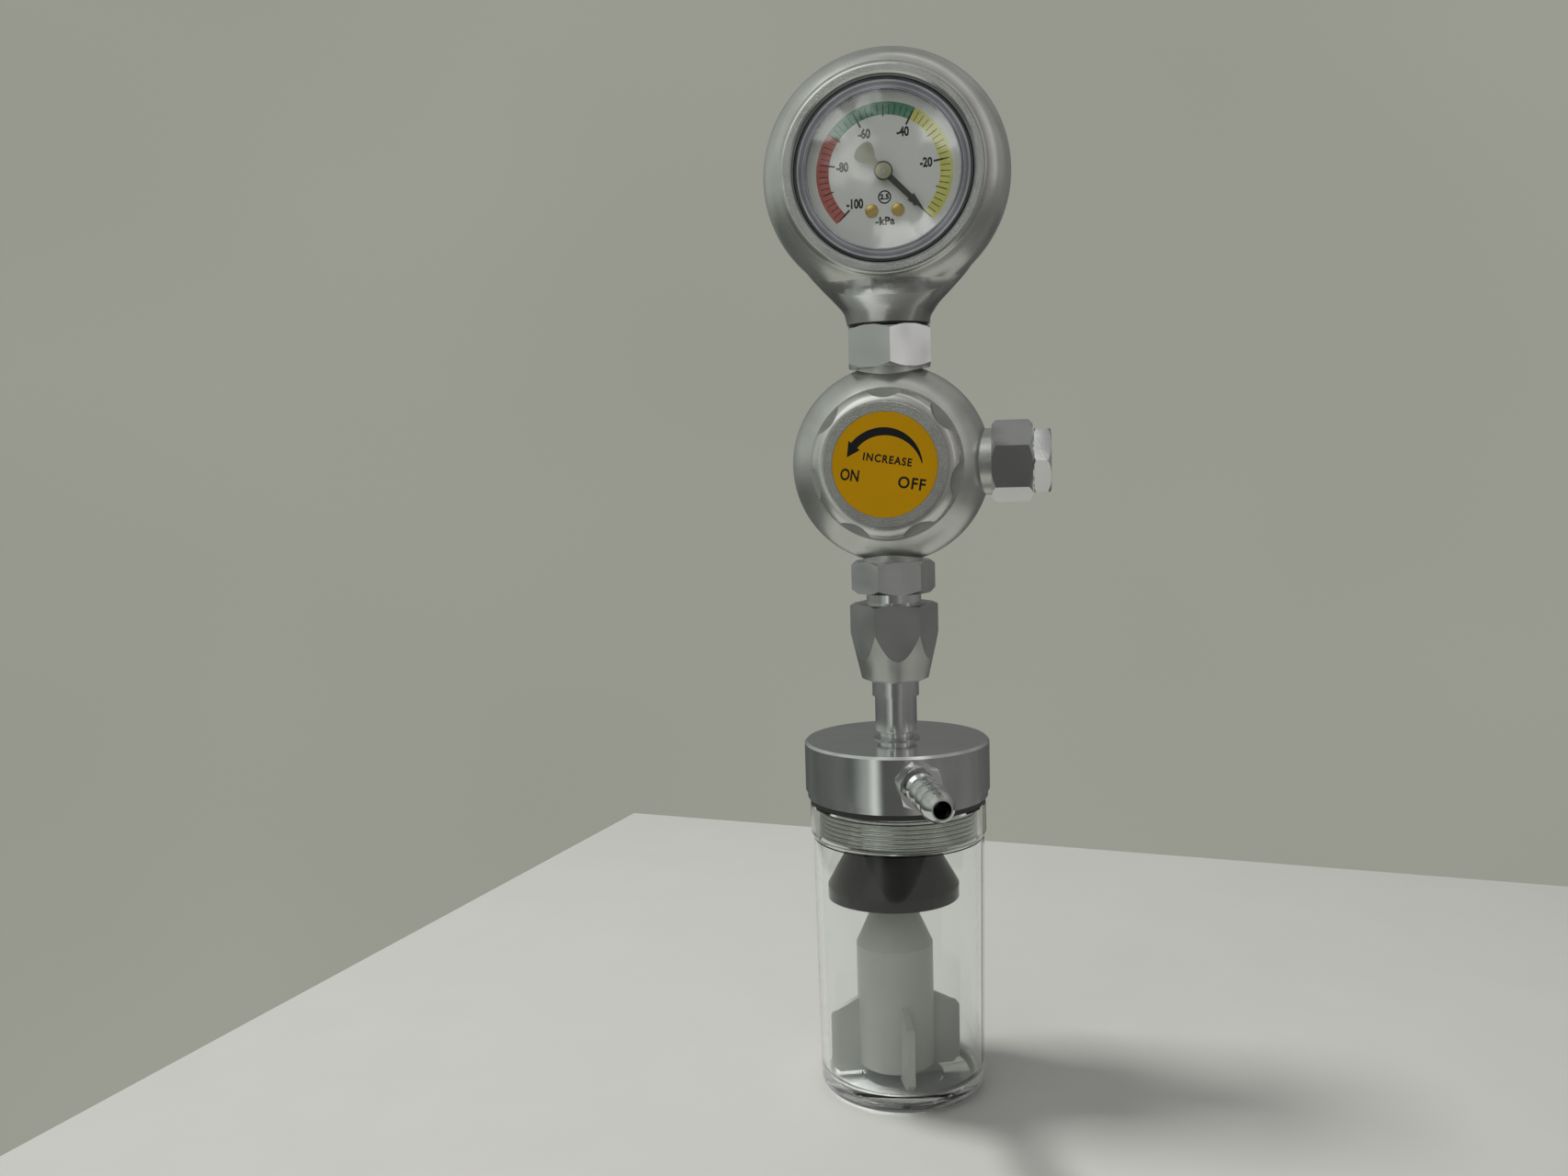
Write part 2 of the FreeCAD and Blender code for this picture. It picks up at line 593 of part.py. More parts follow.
def make_regulator_body():
    back = root(size.ball_radius * size.ball_radius - size.ball_back_radius * size.ball_back_radius)
    ball = turned("Ball", "Y", [
        (size.bonnet_thread, size.ball_lip_depth),
        (size.ball_lip_radius, size.ball_lip_depth),
        (size.ball_radius, 0, size.ball_front_arc),
        (size.ball_back_radius, back, size.ball_radius),
        (0, back),
        (0, size.source_back),
        (size.source_radius, size.source_back),
        (size.source_radius, size.chamber_back),
        (size.chamber_radius, size.chamber_back),
        (size.chamber_radius, size.bonnet_foot),
        (size.bonnet_thread, size.bonnet_foot),
    ], size.ball_height)
    inside, centre = size.boss_root, size.ball_height
    top_collar = cylinder("TopCollar", size.boss_radius, size.top_boss_low - centre - inside,
                          (0, 0, centre + inside))
    top_boss = cylinder("TopBoss", size.boss_thread, size.top_boss_end - centre - inside,
                        (0, 0, centre + inside))
    foot_end = size.tail_flange_top + size.seal_thick
    foot_boss = cylinder("FootBoss", size.boss_thread, centre - inside - foot_end, (0, 0, foot_end))
    side_collar = cylinder("SideCollar", size.boss_radius, size.side_nut_low - inside,
                           (inside, 0, centre), X_AXIS)
    side_boss = cylinder("SideBoss", size.boss_thread, size.side_boss_end - inside,
                         (inside, 0, centre), X_AXIS)
    casting = fused("BallWithBosses", ball, top_collar, top_boss, foot_boss, side_collar, side_boss)
    gauge_duct = cylinder("GaugeDuct", size.duct_radius, size.top_boss_end - centre, (0, 0, centre))
    outlet_duct = cylinder("OutletDuct", size.duct_radius, centre - foot_end, (0, 0, foot_end))
    side_duct = cylinder("SideDuct", size.duct_radius, size.side_boss_end - 2 * size.boss_radius,
                         (2 * size.boss_radius, 0, centre), X_AXIS)
    run_x, run_y = size.slant_to_x - size.slant_from_x, size.slant_to_y - size.slant_from_y
    slant = Vector(run_x.value, run_y.value, 0)
    slant_duct = cylinder("SlantDuct", size.slant_duct_radius, slant.Length,
                          (size.slant_from_x, size.slant_from_y, centre), slant)
    return cut("RegulatorBody", casting, gauge_duct, outlet_duct, side_duct, slant_duct)


def make_bonnet():
    groove_low = size.packing_middle - size.packing_groove / 2
    groove_high = size.packing_middle + size.packing_groove / 2
    groove_depth = 2 * size.packing_section
    return turned("Bonnet", "Y", [
        (size.spindle_bore, size.bonnet_hub_depth),
        (size.bonnet_hub_radius, size.bonnet_hub_depth),
        (size.bonnet_hub_radius, size.bonnet_flange_depth),
        (size.bonnet_flange_radius, size.bonnet_flange_depth),
        (size.bonnet_flange_radius, size.ball_lip_depth),
        (size.bonnet_thread + size.bonnet_seal_width, size.ball_lip_depth),
        (size.bonnet_thread + size.bonnet_seal_width, size.ball_lip_depth - size.bonnet_seal_thick),
        (size.bonnet_thread, size.ball_lip_depth - size.bonnet_seal_thick),
        (size.bonnet_thread, size.bonnet_foot),
        (size.spindle_bore, size.bonnet_foot),
        (size.spindle_bore, groove_high),
        (size.spindle_bore + groove_depth, groove_high),
        (size.spindle_bore + groove_depth, groove_low),
        (size.spindle_bore, groove_low),
    ], size.ball_height)


def make_bonnet_seal():
    return ring("BonnetSeal", "Y", size.bonnet_thread, size.bonnet_thread + size.bonnet_seal_width,
                size.ball_lip_depth - size.bonnet_seal_thick, size.ball_lip_depth, size.ball_height)


def make_spindle_packing():
    packing = document.addObject("Part::Torus", "SpindlePacking")
    bind(packing, Radius1=size.spindle_bore + size.packing_section, Radius2=size.packing_section)
    packing.Placement = FreeCAD.Placement(Vector(), Rotation(X_AXIS, 90))
    bind(packing, Placement__Base__y=size.packing_middle, Placement__Base__z=size.ball_height)
    return packing


def make_spindle():
    return turned("Spindle", "Y", [
        (size.knob_screw_radius, size.knob_screw_seat),
        (size.spindle_spigot, size.knob_screw_seat),
        (size.spindle_spigot, size.knob_skirt_depth),
        (size.spindle_radius, size.knob_skirt_depth),
        (size.spindle_radius, size.spindle_foot),
        (size.spindle_socket, size.spindle_foot),
        (size.spindle_socket, size.spindle_socket_end),
        (0, size.spindle_socket_end),
        (0, size.spindle_tap_end),
        (size.knob_screw_radius, size.spindle_tap_end),
    ], size.ball_height)


def make_valve_disc():
    return turned("ValveDisc", "Y", [
        (0, size.disc_stem_end),
        (size.disc_stem, size.disc_stem_end),
        (size.disc_stem, size.disc_shoulder),
        (size.disc_radius, size.disc_shoulder),
        (size.disc_radius, size.seat_depth - size.disc_rim),
        (size.pad_radius, size.seat_depth - size.disc_rim),
        (size.pad_radius, size.pad_back),
        (0, size.pad_back),
    ], size.ball_height)


def make_valve_pad():
    return turned("ValvePad", "Y", [
        (0, size.pad_back),
        (size.pad_radius, size.pad_back),
        (size.pad_radius, size.seat_depth),
        (0, size.seat_depth),
    ], size.ball_height)


def make_valve_seat():
    return turned("ValveSeat", "Y", [
        (size.seat_bore, size.seat_depth),
        (size.seat_lip_radius, size.seat_depth),
        (size.seat_lip_radius, size.seat_flange_depth),
        (size.seat_flange_radius, size.seat_flange_depth),
        (size.seat_flange_radius, size.chamber_back),
        (size.source_radius, size.chamber_back),
        (size.source_radius, size.seat_end),
        (size.seat_bore, size.seat_end),
    ], size.ball_height)


def make_knob():
    """Turned like a shallow cup, then scalloped by seven round cuts that fade out on its domed front."""
    body = turned("Knob", "Y", [
        (size.knob_screw_head + size.knob_screw_gap, size.knob_face),
        (size.label_radius + size.label_gap, size.knob_face),
        (size.label_radius + size.label_gap, size.knob_front),
        (size.knob_ring_radius, size.knob_front),
        (size.knob_radius, size.knob_shoulder, size.knob_dome),
        (size.knob_radius, size.knob_back - size.knob_edge),
        (size.knob_radius - size.knob_edge, size.knob_back),
        (size.knob_skirt_bore, size.knob_back),
        (size.knob_skirt_bore, size.knob_skirt_depth),
        (size.spindle_spigot, size.knob_skirt_depth),
        (size.spindle_spigot, size.knob_screw_seat),
        (size.knob_screw_head + size.knob_screw_gap, size.knob_screw_seat),
    ], size.ball_height)
    sketch = new_sketch(body, "LobeCutOutline", "XZ_Plane")
    centre = size.lobe_cut_reach + size.lobe_cut_radius
    shape = Part.Circle(Vector(0, centre.value, 0), Z_AXIS, size.lobe_cut_radius.value)
    circle = sketch.addGeometry(shape, False)
    sketch.addConstraint(Sketcher.Constraint("PointOnObject", circle, 3, -2))
    place = sketch.addConstraint(Sketcher.Constraint("DistanceY", -1, 1, circle, 3, centre.value))
    sketch.setExpression("Constraints[%d]" % place, centre.text)
    width = sketch.addConstraint(Sketcher.Constraint("Radius", circle, size.lobe_cut_radius.value))
    sketch.setExpression("Constraints[%d]" % width, size.lobe_cut_radius.text)
    pocket = body.newObject("PartDesign::Pocket", "LobeCut")
    pocket.Profile = sketch
    pocket.Midplane = True
    bind(pocket, Length=-4 * size.knob_front)
    patterned(body, "LobeCuts", pocket, "Y_Axis", size.lobe_count.value)
    return body


def make_knob_screw():
    return turned("KnobScrew", "Y", [
        (0, size.knob_face),
        (size.knob_screw_head, size.knob_face),
        (size.knob_screw_head, size.knob_screw_seat),
        (size.knob_screw_radius, size.knob_screw_seat),
        (size.knob_screw_radius, size.knob_screw_end),
        (0, size.knob_screw_end),
    ], size.ball_height)


def make_knob_label():
    return turned("KnobLabel", "Y", [
        (0, size.knob_face - size.label_thick),
        (size.label_radius, size.knob_face - size.label_thick),
        (size.label_radius, size.knob_face),
        (0, size.knob_face),
    ], size.ball_height)


# Side inlet


def make_side_seal():
    return ring("SideSeal", "X", size.duct_radius, size.boss_thread,
                size.side_boss_end, size.side_boss_end + size.side_seal_thick, size.ball_height)


def make_side_union_nut():
    blank = turned("SideNutBlank", "X", nut_outline(
        size.side_nut_hex, size.side_nut_low, size.side_nut_top, size.nipple_shank + size.nut_slack,
        size.side_flange_top, size.nut_chamfer, neck_at_top=True), size.ball_height)
    prism = hexagon("SideNut", size.side_nut_hex, size.side_nut_low, size.side_nut_top - size.side_nut_low,
                    axis="X", turn=size.side_nut_turn.value, height=size.ball_height)
    return common("SideUnionNut", prism, blank)


def make_side_nipple():
    flange_low = size.side_boss_end + size.side_seal_thick
    shank = turned("NippleShank", "X", [
        (size.duct_radius, flange_low),
        (size.boss_thread, flange_low),
        (size.boss_thread, size.side_flange_top),
        (size.nipple_shank, size.side_flange_top),
        (size.nipple_shank, size.nipple_end - size.nipple_edge),
        (size.inlet_radius, size.nipple_end - size.nipple_edge),
        (size.inlet_radius, size.inlet_foot),
        (size.duct_radius, size.inlet_foot),
    ], size.ball_height)
    corner = size.nipple_hex / math.sqrt(3)
    head_blank = turned("NippleHeadBlank", "X", [
        (size.inlet_radius, size.nipple_low),
        (corner - size.nipple_back_edge, size.nipple_low),
        (corner + size.nut_slack, size.nipple_low + size.nipple_back_edge),
        (corner + size.nut_slack, size.nipple_end - size.nipple_edge),
        (corner - size.nipple_edge, size.nipple_end, size.nipple_dome),
        (size.inlet_radius, size.nipple_end),
    ], size.ball_height)
    prism = hexagon("Nipple", size.nipple_hex, size.nipple_low, size.nipple_end - size.nipple_low,
                    axis="X", turn=30, height=size.ball_height)
    return fused("SideNipple", shank, common("NippleHead", prism, head_blank))


# Gauge fitting, housing and window


def make_gauge_nut():
    blank = turned("GaugeNutBlank", "Z", nut_outline(
        size.gauge_nut_hex, size.top_boss_low, size.gauge_nut_top, size.stem_radius + size.nut_slack,
        size.stem_flange_top, size.nut_chamfer, neck_at_top=True))
    prism = hexagon("GaugeNut", size.gauge_nut_hex, size.top_boss_low, size.gauge_nut_top - size.top_boss_low,
                    turn=size.gauge_nut_turn.value)
    return common("GaugeUnionNut", prism, blank)


def make_gauge_seal():
    return ring("GaugeSeal", "Z", size.stem_bore, size.boss_thread,
                size.top_boss_end, size.top_boss_end + size.side_seal_thick)


def make_gauge_gasket():
    return ring("GaugeGasket", "Z", size.stem_radius, size.gauge_gasket_radius,
                size.gauge_nut_top, size.gauge_nut_top + size.gauge_gasket_thick)


def ellipse_section(body, name, half_width, half_depth, below, back):
    """A level ellipse for the neck's loft, at a distance below the dial's centre and set back along Y."""
    sketch = new_sketch(body, name, "XY_Plane")
    bind(sketch, AttachmentOffset__Base__z=-below, AttachmentOffset__Base__y=back)
    shape = Part.Ellipse(Vector(half_width.value, 0, 0), Vector(0, half_depth.value, 0), Vector(0, 0, 0))
    edge = sketch.addGeometry(shape, False)
    sketch.exposeInternalGeometry(edge)
    long_axis, short_axis = edge + 1, edge + 2
    sketch.addConstraint(Sketcher.Constraint("Coincident", edge, 3, -1, 1))
    sketch.addConstraint(Sketcher.Constraint("Horizontal", long_axis))
    for line, length in ((long_axis, 2 * half_width), (short_axis, 2 * half_depth)):
        place = sketch.addConstraint(Sketcher.Constraint("Distance", line, length.value))
        sketch.setExpression("Constraints[%d]" % place, length.text)
    return sketch


def neck_seams(loft):
    """The two curves, front and back, where the neck's wide top runs into the dish."""
    reach = size.neck_radius.value
    return ["Edge%d" % number for number, edge in enumerate(loft.Shape.Edges, start=1)
            if edge.BoundBox.XLength > 3 * reach and edge.BoundBox.ZMax < -1.5 * reach]


def make_gauge_housing():
    """One casting: a flat dish open to the front, flowing into the neck that the stem passes up."""
    dish = turned("Dish", "Y", [
        (0, size.housing_front),
        (size.lip_radius - size.lip_edge, size.housing_front),
        (size.lip_radius, size.housing_front + size.lip_edge, size.lip_edge),
        (size.lip_radius + size.lip_land, size.housing_front + size.lip_edge + size.lip_land),
        (size.housing_radius, 0, size.front_swell),
        (size.housing_radius - size.shoulder_inward, size.shoulder_back, size.back_swell),
        (size.housing_back_radius, size.housing_back, size.back_swell),
        (0, size.housing_back),
    ], size.dial_height)
    foot = size.dial_height - size.gauge_nut_top - size.gauge_gasket_thick
    sections = [
        ellipse_section(dish, "NeckSection%d" % number, size.neck_radius + wider, size.neck_radius - thinner,
                        foot - rise, back)
        for number, (rise, wider, thinner, back) in enumerate(NECK_SECTIONS)]
    loft = dish.newObject("PartDesign::AdditiveLoft", "NeckLoft")
    loft.Profile = sections[0]
    loft.Sections = sections[1:]
    document.recompute()
    blend = dish.newObject("PartDesign::Fillet", "NeckBlend")
    blend.Base = (loft, neck_seams(loft))
    bind(blend, Radius=size.neck_blend)
    hollow = turned("DishHollow", "Y", [
        (0, size.housing_front - size.window_edge),
        (size.window_radius + 2 * size.window_edge, size.housing_front - size.window_edge),
        (size.window_radius, size.housing_front + size.window_edge),
        (size.window_radius, size.dial_seat),
        (size.movement_bore, size.dial_seat),
        (size.movement_bore, size.movement_back),
        (0, size.movement_back),
    ], size.dial_height)
    stem_hole = cylinder("StemHole", size.stem_radius, foot, (0, 0, size.dial_height - foot))
    return cut("GaugeHousing", dish, hollow, stem_hole)


dial_face = size.dial_seat - size.dial_thick


def make_lens():
    """A moulded cup: a stepped window whose skirt holds the dial's rim down."""
    return turned("Lens", "Y", [
        (0, size.lens_front),
        (size.lens_step_radius - size.lens_bevel, size.lens_front),
        (size.lens_step_radius, size.lens_step),
        (size.lens_radius - size.lens_edge, size.lens_step),
        (size.lens_radius, size.lens_step + size.lens_edge),
        (size.lens_radius, dial_face),
        (size.lens_skirt_radius, dial_face),
        (size.lens_skirt_radius, size.lens_back),
        (0, size.lens_back),
    ], size.dial_height)


def make_lens_seal():
    return ring("LensSeal", "Y", size.lens_radius + size.lens_slack, size.window_radius - size.lens_slack,
                size.lens_seal_front, size.dial_seat, size.dial_height)


def dial_screw_places():
    return [(side * size.dial_screw_across, size.dial_height - size.dial_screw_below) for side in (-1, 1)]


def make_dial():
    disc = turned("DialDisc", "Y", [
        (size.dial_hole, dial_face),
        (size.dial_radius, dial_face),
        (size.dial_radius, size.dial_seat),
        (size.dial_hole, size.dial_seat),
    ], size.dial_height)
    holes = [cylinder("DialHole%d" % number, size.dial_screw_radius, size.dial_thick,
                      (x, dial_face, z), Y_AXIS) for number, (x, z) in enumerate(dial_screw_places())]
    return cut("Dial", disc, *holes)


def make_dial_screws():
    parts = []
    for number, (x, z) in enumerate(dial_screw_places()):
        parts.append(cylinder("DialScrewHead%d" % number, size.dial_screw_head, size.dial_screw_head_thick,
                              (x, dial_face - size.dial_screw_head_thick, z), Y_AXIS))
        parts.append(cylinder("DialScrewShank%d" % number, size.dial_screw_radius,
                              size.front_plate_face - dial_face, (x, dial_face, z), Y_AXIS))
    return fused("DialScrews", *parts)


# Bourdon movement


def make_gauge_socket():
    """A stem with a flange under the nut's shoulder, and a block that carries the tube and the plates."""
    flange_low = size.top_boss_end + size.side_seal_thick
    block_low = size.dial_height - size.block_below
    window_low = size.dial_height - size.window_radius
    stem = turned("SocketStem", "Z", [
        (size.stem_bore, flange_low),
        (size.boss_thread, flange_low),
        (size.boss_thread, size.stem_flange_top),
        (size.stem_radius, size.stem_flange_top),
        (size.stem_radius, block_low + size.block_step),
        (size.stem_bore, block_low + size.block_step),
    ])
    flat = document.addObject("Part::Box", "StemFlat")
    bind(flat, Length=2 * size.stem_radius, Width=size.stem_radius + size.dial_seat,
         Height=size.window_radius)
    bind(flat, Placement__Base__x=-size.stem_radius, Placement__Base__y=-size.stem_radius,
         Placement__Base__z=window_low)
    body = new_body("SocketBlock")
    bind(body, Placement__Base__z=size.dial_height)
    depth = size.back_plate_face - size.dial_seat
    padded(body, "Block", "XZ_Plane", [
        (-size.block_half, -size.block_below),
        (size.block_half, -size.block_below),
        (size.block_half, -size.block_top),
        (-size.ear_near, -size.block_top),
        (-size.ear_near, -size.ear_top),
        (-size.ear_far, -size.ear_top),
        (-size.ear_far, -size.ear_low),
    ], depth, offset=-size.back_plate_face)
    ear_slot = make_coil_cutter()
    return cut("GaugeSocket", fused("SocketBlank", stem, body), ear_slot, flat)


def coil_section(thick, width, angle):
    """The flattened oval of the tube at one end of its sweep, as a wire square to the coil."""
    outward = Vector(math.cos(angle), 0, math.sin(angle))
    middle = outward * size.coil_radius.value + Vector(0, size.coil_middle.value, 0)
    half = thick / 2
    along = Y_AXIS * (width / 2 - half)
    corners = [middle - along - outward * half, middle + along - outward * half,
               middle + along + outward * half, middle - along + outward * half]
    tips = [middle + along + Y_AXIS * half, middle - along - Y_AXIS * half]
    return Part.Wire([
        Part.LineSegment(corners[0], corners[1]).toShape(),
        Part.Arc(corners[1], tips[0], corners[2]).toShape(),
        Part.LineSegment(corners[2], corners[3]).toShape(),
        Part.Arc(corners[3], tips[1], corners[0]).toShape(),
    ])


def coil_shape(thick, width, start, end):
    """The oval section swung about the dial's axis from one angle to another, in degrees."""
    face = Part.Face(coil_section(thick, width, math.radians(start)))
    return face.revolve(Vector(), Y_AXIS, start - end)


def polar(angle, radius):
    """A point of the dial's plane as X and Z, from an angle in degrees."""
    turn = math.radians(angle.value)
    return Vector(math.cos(turn), math.sin(turn), 0) * radius.value


def make_coil_cutter():
    """The bent tube is brazed into the block's ear, which it fills."""
    cutter = document.addObject("Part::Feature", "CoilSeat")
    cutter.Shape = coil_shape(size.coil_thick.value, size.coil_width.value, size.coil_start.value,
                              size.coil_end.value)
    cutter.Placement = FreeCAD.Placement(Vector(0, 0, size.dial_height.value), Rotation())
    return cutter


def make_bourdon_tube():
    """A hollow coil, open where it is brazed in and plugged at its free end, which carries a lug."""
    tube = document.addObject("Part::Feature", "BourdonTube")
    start, end = size.coil_start.value, size.coil_end.value
    thick, width = size.coil_thick.value, size.coil_width.value
    wall, bite = size.coil_wall.value, 0.01
    outside = coil_shape(thick, width, start, end)
    inside = coil_shape(thick - 2 * wall, width - 2 * wall, start + bite, end + size.coil_plug.value)
    tip = polar(size.coil_tip, size.lug_out)
    height = size.lug_height.value
    corner = Vector(tip.x - size.lug_length.value, size.lug_front.value, tip.y - height / 2)
    lug = Part.makeBox(size.lug_length.value, size.lug_thick.value, height, corner)
    tube.Shape = outside.cut(inside).fuse(lug).removeSplitter()
    tube.Placement = FreeCAD.Placement(Vector(0, 0, size.dial_height.value), Rotation())
    return tube


pitch_distance = size.tooth_module * (size.pinion_teeth + size.sector_teeth) / 2


def add_teeth(body, name, teeth, first_angle, step, count, thick, offset):
    """One trapezoid tooth, patterned round the body's own Y axis."""
    pitch_radius = size.tooth_module * teeth / 2
    sunk, proud, root_share, tip_share = 1.6, 0.85, 1.05, 0.34
    root_radius = pitch_radius - sunk * size.tooth_module
    tip_radius = pitch_radius + proud * size.tooth_module
    root_half, tip_half = root_share * size.tooth_module, tip_share * size.tooth_module
    turn = math.radians(first_angle)
    outward, sideways = (math.cos(turn), math.sin(turn)), (-math.sin(turn), math.cos(turn))
    corners = []
    for radius, half in ((root_radius, -root_half), (tip_radius, -tip_half),
                         (tip_radius, tip_half), (root_radius, root_half)):
        corners.append((radius * outward[0] + half * sideways[0], radius * outward[1] + half * sideways[1]))
    tooth = padded(body, name, "XZ_Plane", corners, thick, offset=offset)
    pattern = patterned(body, name + "Pattern", tooth, "Y_Axis", count, angle=step * (count - 1))
    pattern.Reversed = True
    return pattern


def rim_radius(teeth):
    """The radius of the bottoms of the gaps between teeth."""
    dedendum = 1.25
    return size.tooth_module * (teeth / 2 - dedendum)


def make_pointer_arbor():
    """The pointer's spindle with its ten-tooth pinion cut in one piece."""
    pinion_root = rim_radius(size.pinion_teeth)
    hub_front = size.pointer_back - size.pointer_hub_thick
    body = turned("PointerArbor", "Y", [
        (0, hub_front),
        (size.arbor_radius, hub_front),
        (size.arbor_radius, size.pinion_front),
        (pinion_root, size.pinion_front),
        (pinion_root, size.pinion_back),
        (size.arbor_radius, size.pinion_back),
        (size.arbor_radius, size.back_plate_face + size.plate_thick),
        (0, size.back_plate_face + size.plate_thick),
    ], size.dial_height)
    step = 360.0 / size.pinion_teeth.value
    add_teeth(body, "PinionTooth", size.pinion_teeth, 270, step, int(size.pinion_teeth.value),
              size.pinion_back - size.pinion_front, -size.pinion_back)
    return body


def make_sector_gear():
    """A toothed sector on its own arbor, with a short arm for the link."""
    body = turned("SectorGear", "Y", [
        (0, size.front_plate_face),
        (size.arbor_radius, size.front_plate_face),
        (size.arbor_radius, size.sector_hub_front),
        (size.sector_hub, size.sector_hub_front),
        (size.sector_hub, size.sector_front + size.sector_thick),
        (size.arbor_radius, size.sector_front + size.sector_thick),
        (size.arbor_radius, size.back_plate_face + size.plate_thick),
        (0, size.back_plate_face + size.plate_thick),
    ])
    bind(body, Placement__Base__z=size.dial_height - pitch_distance)
    step = 360.0 / size.sector_teeth.value
    past_top, beyond = 1.5, 0.6
    first = 90 - past_top * step
    last = first + step * (size.sector_cut_teeth.value - 1)
    low, high = as_size(first - step * beyond), as_size(last + step * beyond)
    rim = rim_radius(size.sector_teeth)
    corners = [polar(low, size.sector_root), polar(low, rim), polar(high, rim), polar(high, size.sector_root)]
    blade = [(corner.x, corner.y) for corner in corners]
    blade[2] += (rim,)
    blade_offset = -(size.sector_front + size.sector_thick)
    padded(body, "SectorBlade", "XZ_Plane", blade, size.sector_thick, offset=blade_offset)
    out = polar(size.tail_arm_angle, as_size(1))
    side = Vector(-out.y, out.x, 0)
    root_half, half, reach = size.arm_root_half.value, size.arm_half.value, size.tail_arm.value
    arm = [side * -root_half, out * reach - side * half, out * reach + side * half, side * root_half]
    arm_corners = [(corner.x, corner.y) for corner in arm]
    arm_corners[2] += (size.arm_end,)
    padded(body, "SectorArm", "XZ_Plane", arm_corners, size.sector_thick, offset=blade_offset)
    add_teeth(body, "SectorTooth", size.sector_teeth, first, step, int(size.sector_cut_teeth.value),
              size.sector_thick, blade_offset)
    pin_middle = polar(size.tail_arm_angle, size.tail_arm)
    pin_height = size.dial_height - pitch_distance + pin_middle.y
    pin = cylinder("SectorPin", size.pin_radius, size.link_front + size.link_thick - size.sector_front,
                   (pin_middle.x, size.sector_front, pin_height), Y_AXIS)
    return fused("SectorWithPin", body, pin)


def make_tip_link():
    """A flat strap from the sector's arm to the end of the tube."""
    pivot = polar(size.tail_arm_angle, size.tail_arm) - Vector(0, pitch_distance.value, 0)
    run = polar(size.coil_tip, size.link_reach) - pivot
    body = new_body("TipLink")
    half, end = size.link_half, size.link_end
    outline = [(0, -half, end), (run.Length, -half), (run.Length, half, end), (0, half)]
    padded(body, "Link", "XZ_Plane", outline, size.link_thick, offset=-(size.link_front + size.link_thick))
    sketch = new_sketch(body, "LinkHoleOutline", "XZ_Plane")
    circle = sketch.addGeometry(Part.Circle(Vector(), Z_AXIS, size.link_hole.value), False)
    sketch.addConstraint(Sketcher.Constraint("Coincident", circle, 3, -1, 1))
    width = sketch.addConstraint(Sketcher.Constraint("Radius", circle, size.link_hole.value))
    sketch.setExpression("Constraints[%d]" % width, size.link_hole.text)
    hole = body.newObject("PartDesign::Pocket", "LinkHole")
    hole.Profile = sketch
    hole.Midplane = True
    bind(hole, Length=4 * size.link_front)
    slope = -math.degrees(math.atan2(run.y, run.x))
    body.Placement = FreeCAD.Placement(Vector(pivot.x, 0, size.dial_height.value + pivot.y),
                                       Rotation(Y_AXIS, slope))
    return body


def plate(name, below, face):
    """An upright plate's body, with the cutters for the two arbors that turn in it."""
    body = new_body(name)
    bind(body, Placement__Base__z=size.dial_height)
    padded(body, name, "XZ_Plane", [
        (-size.plate_half, -below),
        (size.plate_half, -below),
        (size.plate_half, size.plate_top),
        (-size.plate_half, size.plate_top),
    ], size.plate_thick, offset=-(face + size.plate_thick))
    heights = (size.dial_height, size.dial_height - pitch_distance)
    holes = [cylinder("%sHole%d" % (name, number), size.arbor_bore, size.plate_thick,
                      (0, face, height), Y_AXIS) for number, height in enumerate(heights)]
    return body, holes


def dial_posts(name, radius):
    """One rod behind each of the dial's screws, from the dial to the front plate."""
    return [cylinder("%s%d" % (name, number), radius, size.front_plate_face - size.dial_seat,
                     (x, size.dial_seat, z), Y_AXIS) for number, (x, z) in enumerate(dial_screw_places())]


def make_front_plate():
    body, tools = plate("FrontPlateBlank", size.front_plate_below, size.front_plate_face)
    posts = dial_posts("DialPost", size.dial_post_radius)
    taps = dial_posts("DialTap", size.dial_screw_radius)
    return cut("FrontPlate", fused("FrontPlateWithPosts", body, *posts), *(tools + taps))


def make_back_plate():
    body, tools = plate("BackPlateBlank", size.block_below - size.block_step, size.back_plate_face)
    return cut("BackPlate", body, *tools)


def make_plate_pillars():
    front = size.front_plate_face + size.plate_thick
    rods = [cylinder("Pillar%d" % number, size.pillar_radius, size.back_plate_face - front,
                     (x, front, size.dial_height + z), Y_AXIS) for number, (x, z) in enumerate(PILLAR_PLACES)]
    return fused("PlatePillars", *rods)


def make_pointer():
    """A spear on one side of the hub and a spade on the other, laid along its rest direction."""
    reach, tail = size.pointer_length, size.pointer_tail
    body = ring("Pointer", "Y", size.arbor_radius, size.pointer_hub,
                size.pointer_back - size.pointer_hub_thick, size.pointer_back)
    start, waist, head = size.pointer_root, reach - size.spear_waist, reach - size.spear_head
    padded(body, "Spear", "XZ_Plane", [
        (start, -size.spear_root_half),
        (waist, -size.spear_waist_half),
        (head, -size.spear_half),
        (reach, 0),
        (head, size.spear_half),
        (waist, size.spear_waist_half),
        (start, size.spear_root_half),
    ], size.pointer_thick, offset=-size.pointer_back)
    neck, wide = tail * size.spade_neck, tail * size.spade_wide
    padded(body, "Spade", "XZ_Plane", [
        (-start, size.spade_root_half),
        (-neck, size.spade_neck_half),
        (-wide, size.spade_half),
        (-tail, size.spade_end_half, size.spade_swell),
        (-tail, -size.spade_end_half),
        (-wide, -size.spade_half, size.spade_swell),
        (-neck, -size.spade_neck_half),
        (-start, -size.spade_root_half),
    ], size.pointer_thick, offset=-size.pointer_back)
    body.Placement = FreeCAD.Placement(Vector(), Rotation(Y_AXIS, size.pointer_rest.value))
    bind(body, Placement__Base__z=size.dial_height)
    return body


